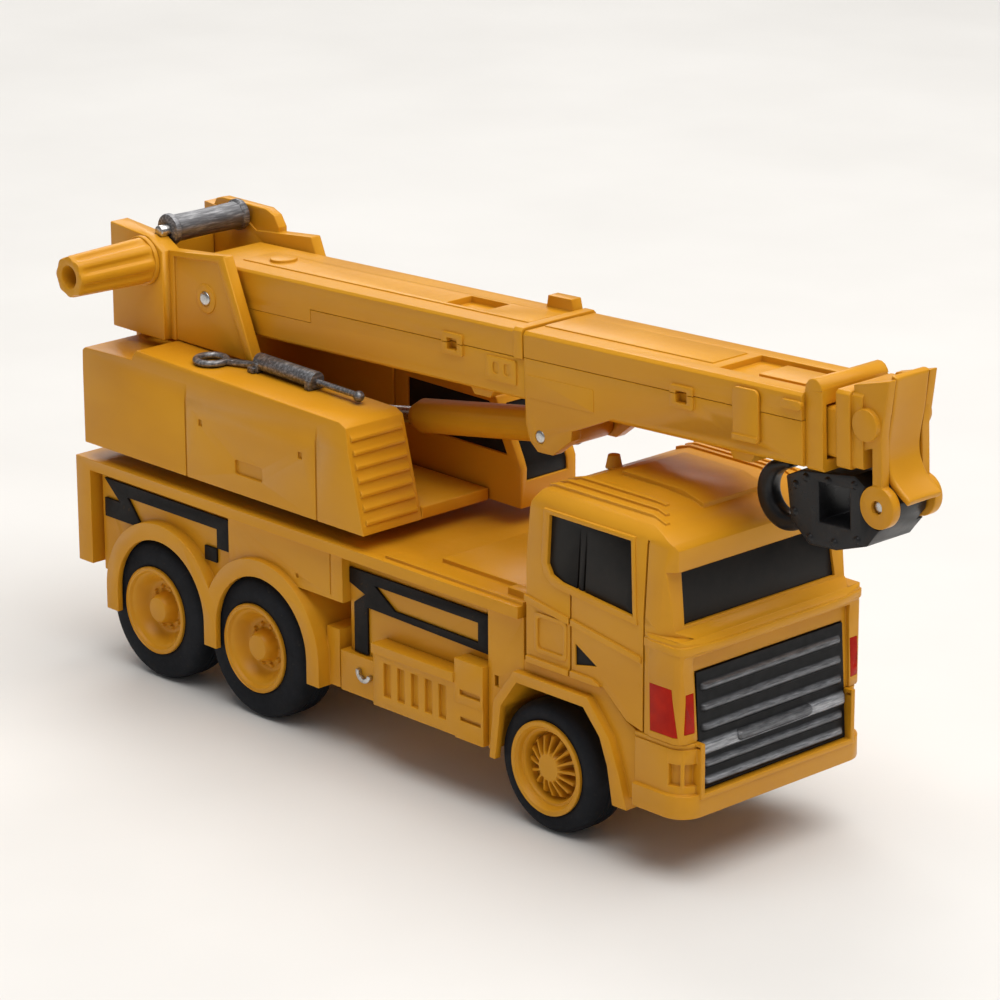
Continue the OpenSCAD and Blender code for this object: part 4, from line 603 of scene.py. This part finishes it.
def cross_pin(node):
    """A turned pin along Y: straight, but for the last 0.3 mm at each end, where a quarter ellipse takes
    it in to under 0.6 of its radius."""
    dome_depth, flat_share = 0.3, 0.45
    low, high = box_mm(node)
    r = (high[0] - low[0]) / 2
    dome = np.linspace(0, np.pi / 2, 7)[1:]
    end_r = r * (flat_share + (1 - flat_share) * np.sin(dome))
    end_y = dome_depth * (1 - np.cos(dome))
    near = np.stack((end_r, low[1] + end_y), -1)
    far = np.stack((end_r, high[1] - end_y), -1)[::-1]
    shell = Shell()
    spun(shell, *turned(np.vstack((near, far)), 48), middle_xz(node))
    shell.stand_for(node, "_turned")


def winch_drum(node):
    """A reel along Y: flanged ends with rounded rims and a smooth barrel whose radius sinks as a cosine
    by 0.08 mm towards the middle, around a through bore."""
    bore, flange_drop, sink = 1.06, 0.36, 0.08
    low, high = box_mm(node)
    r, y0, y1 = (high[0] - low[0]) / 2, low[1], high[1]
    across = np.linspace(y0 + 1.3, y1 - 1.3, 111)
    waist = sink / 2 * (1 - np.cos(2 * np.pi * (across - y0) / (y1 - y0)))
    barrel = np.stack((r - flange_drop - waist, across), -1)
    flange = [(bore, 0), (r - 0.3, 0), (r - 0.09, 0.09), (r, 0.3), (r, 0.9), (r - 0.2, 1.15)]
    near = [(radius, y0 + y) for radius, y in flange]
    far = [(radius, y1 - y) for radius, y in flange[::-1]]
    shell = Shell()
    spun(shell, *turned(np.vstack((near, barrel, far)), 96), middle_xz(node), ring=True)
    shell.stand_for(node, "_reel")


def fluted_boss(node):
    """A tapering boss along -Y. Its radius is a soft octagon, r0 + 0.12 cos 8a, cut by shallow flutes
    between eight ribs, with a rolled tip, a blind bore of radius 1.8 and a collar at its foot."""
    ribs, rib_height, flute_depth, bore = 8, 0.12, 0.26, 1.8
    low, high = box_mm(node)
    length = high[1] - low[1]
    angle = full_turn(192)
    h = even_runs((0.8, 1.3, 4), (1.5, length - 0.7, 22), (length - 0.55, length - 0.12, 5))
    wave = np.cos(ribs * angle)[None, :]
    body = 3.72 - 0.42 * (h - 0.8) / (length - 0.8) - 0.14 * smooth(h, length - 0.8, length)
    flute = 1 - smooth(wave, -0.9, 0.2)
    run = smooth(h, 0.9, 2.0) * (1 - smooth(h, length - 1.5, length - 0.8))
    outside = body + rib_height * wave - flute_depth * flute * run
    collar_r, collar_h = turned([(3.9, 0.0), (4.05, 0.12), (4.05, 0.6), (3.95, 0.76)], angle.size)
    tip_r, tip_h = turned([(2.95, length), (2.1, length), (1.88, length - 0.08), (bore, length - 0.3),
                           (bore, 2.1), (bore - 0.1, 2.0)], angle.size)
    shell = Shell()
    spun(shell, np.vstack((collar_r, outside, tip_r)),
         np.vstack((collar_h, np.repeat(h, angle.size, 1), tip_h)), middle_xz(node), high[1], -1)
    shell.stand_for(node, "_fluted")


BOOM_PIVOT, BOOM_RISE = (-46.7, 63.6), math.radians(2.4)


def on_boom(u, y, w):
    """Points u along the boom from its pivot, y across it and w square to it, turned by the boom's rise
    into the truck's frame."""
    u, y, w = np.broadcast_arrays(u, y, w)
    return np.stack((
        BOOM_PIVOT[0] + u * math.cos(BOOM_RISE) - w * math.sin(BOOM_RISE), y,
        BOOM_PIVOT[1] + u * math.sin(BOOM_RISE) + w * math.cos(BOOM_RISE)), -1)


def hinge_on_boom():
    """Where the hook's hinge pin stands, as u along the boom and w square to it: on_boom turned back."""
    x, z = np.array(middle_xz("hook_pin")) - BOOM_PIVOT
    return np.array([x * math.cos(BOOM_RISE) + z * math.sin(BOOM_RISE),
                     z * math.cos(BOOM_RISE) - x * math.sin(BOOM_RISE)])


HINGE = hinge_on_boom()


def sweep(sections, node, ending):
    """Joins closed sections, one in each row, into a piece with a flat face at both ends."""
    shell = Shell()
    index = shell.grid(sections, columns_close=True)
    shell.cap(index[0])
    shell.cap(index[-1][::-1])
    shell.stand_for(node, ending)


def rounded_end(before, start, finish):
    """Points of a shallow half ellipse from start to finish, bulging on from the point before start."""
    bulge = 0.35
    turn = np.linspace(-np.pi / 2, np.pi / 2, 7)[1:-1, None]
    beyond, arm = start - before, (finish - start) / 2
    out = beyond / np.linalg.norm(beyond) * np.linalg.norm(finish - start) / 2
    return (start + finish) / 2 + np.sin(turn) * arm + bulge * np.cos(turn) * out


def curved_guard(node):
    """An upright shell hollow to the front. Its section is a smooth closed curve through a front and a
    back line; across the width the front line sinks by a cosine, and near each side the whole section
    shrinks towards its middle line by a quarter circle, which rounds the rims."""
    rim, front_sink, back_share, least_share = 0.45, 0.22, 0.3, 0.05
    half = box_mm(node)[1][1]
    front = through([(2.4, 18.3), (1.7, 13.6), (0.9, 9.8), (0.6, 7.4), (0.95, 5.4), (2.1, 3.4),
                     (4.5, 1.4)], 40)
    back = through([(1.25, 18.6), (0.5, 14.0), (-0.3, 10.0), (-0.6, 7.4), (-0.05, 4.6), (1.25, 2.55),
                    (3.9, 0.6)], 40)
    quarter = np.linspace(0, np.pi / 2, 6)
    drop, step = rim * (1 - np.sin(quarter)), rim * (1 - np.cos(quarter))
    flat = np.linspace(-half + rim, half - rim, 17)[1:-1]
    inset = np.concatenate((drop, 0 * flat, drop[::-1]))
    across = np.concatenate((-half + step, flat, half - step[::-1]))
    middle = (front + back) / 2
    half_thick = np.linalg.norm(front - back, axis=1, keepdims=True) / 2
    sections = []
    for y, cut in zip(across, inset):
        shrink = np.clip((half_thick - cut) / half_thick, least_share, 1)
        hollow = front_sink * np.cos(np.pi * y / (2 * half)) * np.array([[1.0, 0.0]])
        face = middle + (front - middle) * shrink - hollow
        rear = middle + (back - middle) * shrink - hollow * back_share
        loop = HINGE + np.vstack((face, rounded_end(face[-2], face[-1], rear[-1]),
                                  rear[::-1], rounded_end(rear[1], rear[0], face[0])))
        sections.append(on_boom(loop[:, 0], y, loop[:, 1]))
    sweep(np.array(sections), node, "_curved")


def nose(along, length, least):
    """A round nose: a quarter circle from 0 to 1 over the first length, its square never under least."""
    return np.sqrt(np.clip(1 - (1 - np.clip(along / length, 0, 1)) ** 2, least, 1))


def crescent_hook(node):
    """A crescent swept by angle from its tip, over the back and foot, to its shank. At each angle the
    section spans from an inner circle to an outer one set off from it, and is a squarish ellipse,
    |s|^2.6 + |t|^2.6 = 1. Both ends shrink to a round nose, and the tip flares outward."""
    outer_r, inner_r, power, flare = 5.28, 3.1, 2.6, 0.45
    behind_hinge, under_hinge, set_off = 19.6, 2.4, np.array([0.9, 0.6])
    inner_middle = HINGE - (behind_hinge, under_hinge) + set_off
    low, high = box_mm(node)
    y_middle, y_half = (low[1] + high[1]) / 2, (high[1] - low[1]) / 2
    turn = np.radians(np.linspace(78, 318, 97))
    ray = np.stack((np.cos(turn), np.sin(turn)), -1)
    reach = -ray @ set_off + np.sqrt((ray @ set_off) ** 2 - set_off @ set_off + outer_r**2)
    along = np.linspace(0, 1, turn.size)
    taper = np.minimum(nose(along, 0.05, 0.003), nose(1 - along, 0.02, 0.02))
    middle = (reach + inner_r) / 2 + flare * (1 - smooth(along, 0.0, 0.16))
    half = (reach - inner_r) / 2 * taper
    angle = full_turn(40)
    square = (np.abs(np.cos(angle)) ** power + np.abs(np.sin(angle)) ** power) ** (-1 / power)
    s, t = np.cos(angle) * square, np.sin(angle) * square
    radius = middle[:, None] + half[:, None] * s
    place = inner_middle + radius[..., None] * ray[:, None, :]
    y = y_middle + y_half * taper[:, None] ** 0.5 * t
    sweep(on_boom(place[..., 0], y, place[..., 1]), node, "_crescent")


# Each rib's height over the grille's foot, and how bright its crest and upper side are painted, as a
# painted highlight
RIBS = ((15.4, 0.5), (12.3, 0.5), (9.3, 0.5), (3.8, 0.45), (1.25, 0.7))
BAR_Z, PLATE_Z, PLATE_HALF = 6.2, 6.48, 7.0


def grille_lines(half, foot, head):
    """Upright and level lines of the grille's face, the upright ones close together where its ends fade
    and round the plate's ends."""
    ends = half - np.array([0.0, 0.15, 0.5, 0.62, 0.75, 0.9, 1.1, 1.4, 1.8])
    plate = PLATE_HALF + 0.6 - np.array([-0.3, -0.1, 0.0, 0.08, 0.2, 0.35, 0.6, 0.9])
    middle = np.linspace(-half + 2, half - 2, 31)
    y = np.unique(np.round(np.concatenate((ends, -ends, plate, -plate, middle)), 4))
    return np.linspace(foot, head, 236), y


def grille_relief(y, z, half):
    """How far the face stands out at y and at height z over its foot, and how bright it is painted. A rib
    is exp(-((z - c) / w)^4) high, wider below than above, the bar exp(-((z - c) / w)^6), and both fade
    towards their ends. The plate is raised near a level line, in a groove of exp(-((d - r) / w)^2) at
    the distance d from that line."""
    rib_rise, rib_low_w, rib_top_w, bar_rise, bar_w = 0.62, 0.62, 0.42, 0.6, 0.95
    plate_rise, groove_depth, groove_r, groove_w = 0.36, 0.15, 0.8, 0.13
    rise, paint = np.zeros_like(z), np.zeros_like(z)
    to_end = half - np.abs(y)
    for rib_z, shine in RIBS:
        off = z - rib_z
        fade = smooth(to_end, 0.55, 1.3)
        width = np.where(off < 0, rib_low_w, rib_top_w)
        rise = np.maximum(rise, rib_rise * np.exp(-((off / width) ** 4)) * fade)
        # painted highlight: silver along each rib's crest and upper side
        paint = np.maximum(paint, shine * np.exp(-(((off - 0.1) / rib_top_w) ** 4)) * fade)
    bar = np.exp(-(((z - BAR_Z) / bar_w) ** 6)) * smooth(to_end, 0.15, 0.5)
    from_line = np.hypot(np.maximum(np.abs(y) - PLATE_HALF, 0), z - PLATE_Z)
    plate = 1 - smooth(from_line, 0.5, 0.68)
    groove = np.exp(-(((from_line - groove_r) / groove_w) ** 2))
    rise = np.maximum(rise, bar_rise * bar) + plate_rise * plate - groove_depth * groove * bar
    # painted shade: the groove round the plate is painted nearly black; the plate's darker grey is its own
    # paint
    paint = np.maximum(paint, bar) * (1 - 0.6 * plate) * (1 - 0.9 * groove)
    return rise, paint


def grille(node):
    """A raked panel whose face stands out by its relief of ribs, bar and blank plate, with a flat back.
    Its x grows evenly downward, and a point colour records how bright each spot is painted."""
    margin, face_back, panel_back = 0.02, 0.45, 1.04
    top_x, top_z, rake, rake_height = 68.1, 33.0, 1.1, 18.8
    low, high = box_mm(node)
    foot, head, half = low[2] + margin, high[2] - margin, high[1]
    z_lines, y_lines = grille_lines(half, foot, head)
    z, y = np.meshgrid(z_lines, y_lines, indexing="ij")
    rise, paint = grille_relief(y, z - foot, half)
    raked = top_x + rake * (top_z - z) / rake_height
    front = np.stack((raked - face_back + rise, y, z), -1)
    back = np.stack((raked - panel_back, y, z), -1)[[0, -1]][:, [0, -1]]
    shell = Shell()
    index = shell.grid(front)
    corner = shell.add(back)
    shell.cap(np.concatenate((index[0], corner[0][::-1])))
    shell.cap(np.concatenate((index[-1][::-1], corner[1])))
    shell.cap(np.concatenate((index[:, 0][::-1], corner[:, 0])))
    shell.cap(np.concatenate((index[:, -1], corner[:, 1][::-1])))
    shell.cap(np.array([corner[0, 0], corner[0, 1], corner[1, 1], corner[1, 0]]))
    mesh = shell.mesh(node + "_ribbed", crease=60)
    # how bright each spot is painted: real silver on the bar, painted highlight on the ribs, painted shade
    # in the plate's groove
    shine = np.zeros((len(mesh.vertices), 4), np.float32)
    shine[:index.size, :3] = paint.reshape(-1, 1)
    shine[:, 3] = 1
    layer = mesh.color_attributes.new("shine", "FLOAT_COLOR", "POINT")
    layer.data.foreach_set("color", shine.reshape(-1))
    keep(new_object(node + "_ribbed", mesh), node, GRILLE_PAINT)


SHAPED = {
    "front_rims": spoked_rim, "middle_rims": dished_rim, "rear_rims": dished_rim,
    "front_tyres": tyre, "middle_tyres": tyre, "rear_tyres": tyre,
    "front_axle": cross_pin, "middle_axle": cross_pin, "rear_axle": cross_pin,
    "boom_pivot_pin": cross_pin, "winch_spindle": cross_pin, "lift_pin": cross_pin, "hook_pin": cross_pin,
    "winch_drum": winch_drum, "side_boss": fluted_boss, "head_guard": curved_guard, "hook": crescent_hook,
    "grille": grille,
}
for node_name, build in SHAPED.items():
    build(node_name)


# ---------------------------------------------------------------- screws and rod, as their CAD meshes
for node_name, node_object in frame["nodes"].items():
    if node_name not in EDGE_RADIUS and node_name not in SHAPED:
        paint(node_object, FINISH[NODE_SLOT[node_name]])


# ---------------------------------------------------------------- floor, light and camera
def floor():
    """A wide pale floor of an even off-white, which takes the truck's shadow."""
    half_m = 3.0
    corners = [(-half_m, -half_m, 0), (half_m, -half_m, 0), (half_m, half_m, 0), (-half_m, half_m, 0)]
    mesh = bpy.data.meshes.new("floor")
    mesh.from_pydata(corners, [], [(0, 1, 2, 3)])
    piece = new_object("floor", mesh)
    n = Nodes("pale_floor")
    n.feed(Base_Color=n.clouded(n.noise(60, 3, 0.5), (0.74, 0.725, 0.70), (0.78, 0.765, 0.74)))
    mesh.materials.append(n.set(Roughness=0.85).material)


def area_light(name, place, aim, size, watts, colour):
    """A round lamp, size metres across, turned towards its aim."""
    lamp = bpy.data.lights.new(name, "AREA")
    lamp.shape = "DISK"
    lamp.size = size
    lamp.energy = watts
    lamp.color = colour
    piece = new_object(name, lamp)
    piece.location = place
    piece.rotation_euler = (Vector(aim) - Vector(place)).to_track_quat("-Z", "Y").to_euler()


def lights():
    """A broad key lamp overhead, two weak lamps from the right and from behind, and a dim pale sky."""
    centre = (0.01, 0, 0.04)
    area_light("key", (0.22, 0.05, 0.95), centre, 1.3, 13.5, (1.0, 0.98, 0.95))
    area_light("fill", (0.5, -0.8, 0.4), centre, 0.9, 0.35, (1.0, 0.98, 0.96))
    area_light("back", (-0.7, 0.5, 0.7), centre, 0.6, 3.0, (1.0, 0.98, 0.95))
    world = bpy.data.worlds.new("soft_sky")
    world.use_nodes = True
    sky = world.node_tree.nodes["Background"]
    sky.inputs["Color"].default_value = (0.93, 0.95, 1.0, 1)
    sky.inputs["Strength"].default_value = 0.22
    bpy.context.scene.world = world


def camera():
    """Long lens from the truck's right front, a little above it. Its azimuth turns from a square view of
    the right side towards the front, and roll turns right and up about the line of sight."""
    place = (0.45805, -0.4225, 0.2411)
    azimuth, elevation, roll = (math.radians(degrees) for degrees in (46.62, 18.01, -0.216))
    forward = Vector((-math.sin(azimuth) * math.cos(elevation), math.cos(azimuth) * math.cos(elevation),
                      -math.sin(elevation)))
    level = Vector((math.cos(azimuth), math.sin(azimuth), 0))
    steep = level.cross(forward)
    right = level * math.cos(roll) + steep * math.sin(roll)
    up = steep * math.cos(roll) - level * math.sin(roll)
    lens = bpy.data.cameras.new("long_lens")
    lens.sensor_width = 36
    lens.lens = 152.1
    lens.clip_start = 0.01
    piece = new_object("camera", lens)
    turn = Matrix((right, up, -forward)).transposed().to_4x4()
    piece.matrix_world = Matrix.Translation(place) @ turn
    bpy.context.scene.camera = piece


floor()
lights()
camera()
bpy.context.scene.view_settings.view_transform = "Standard"
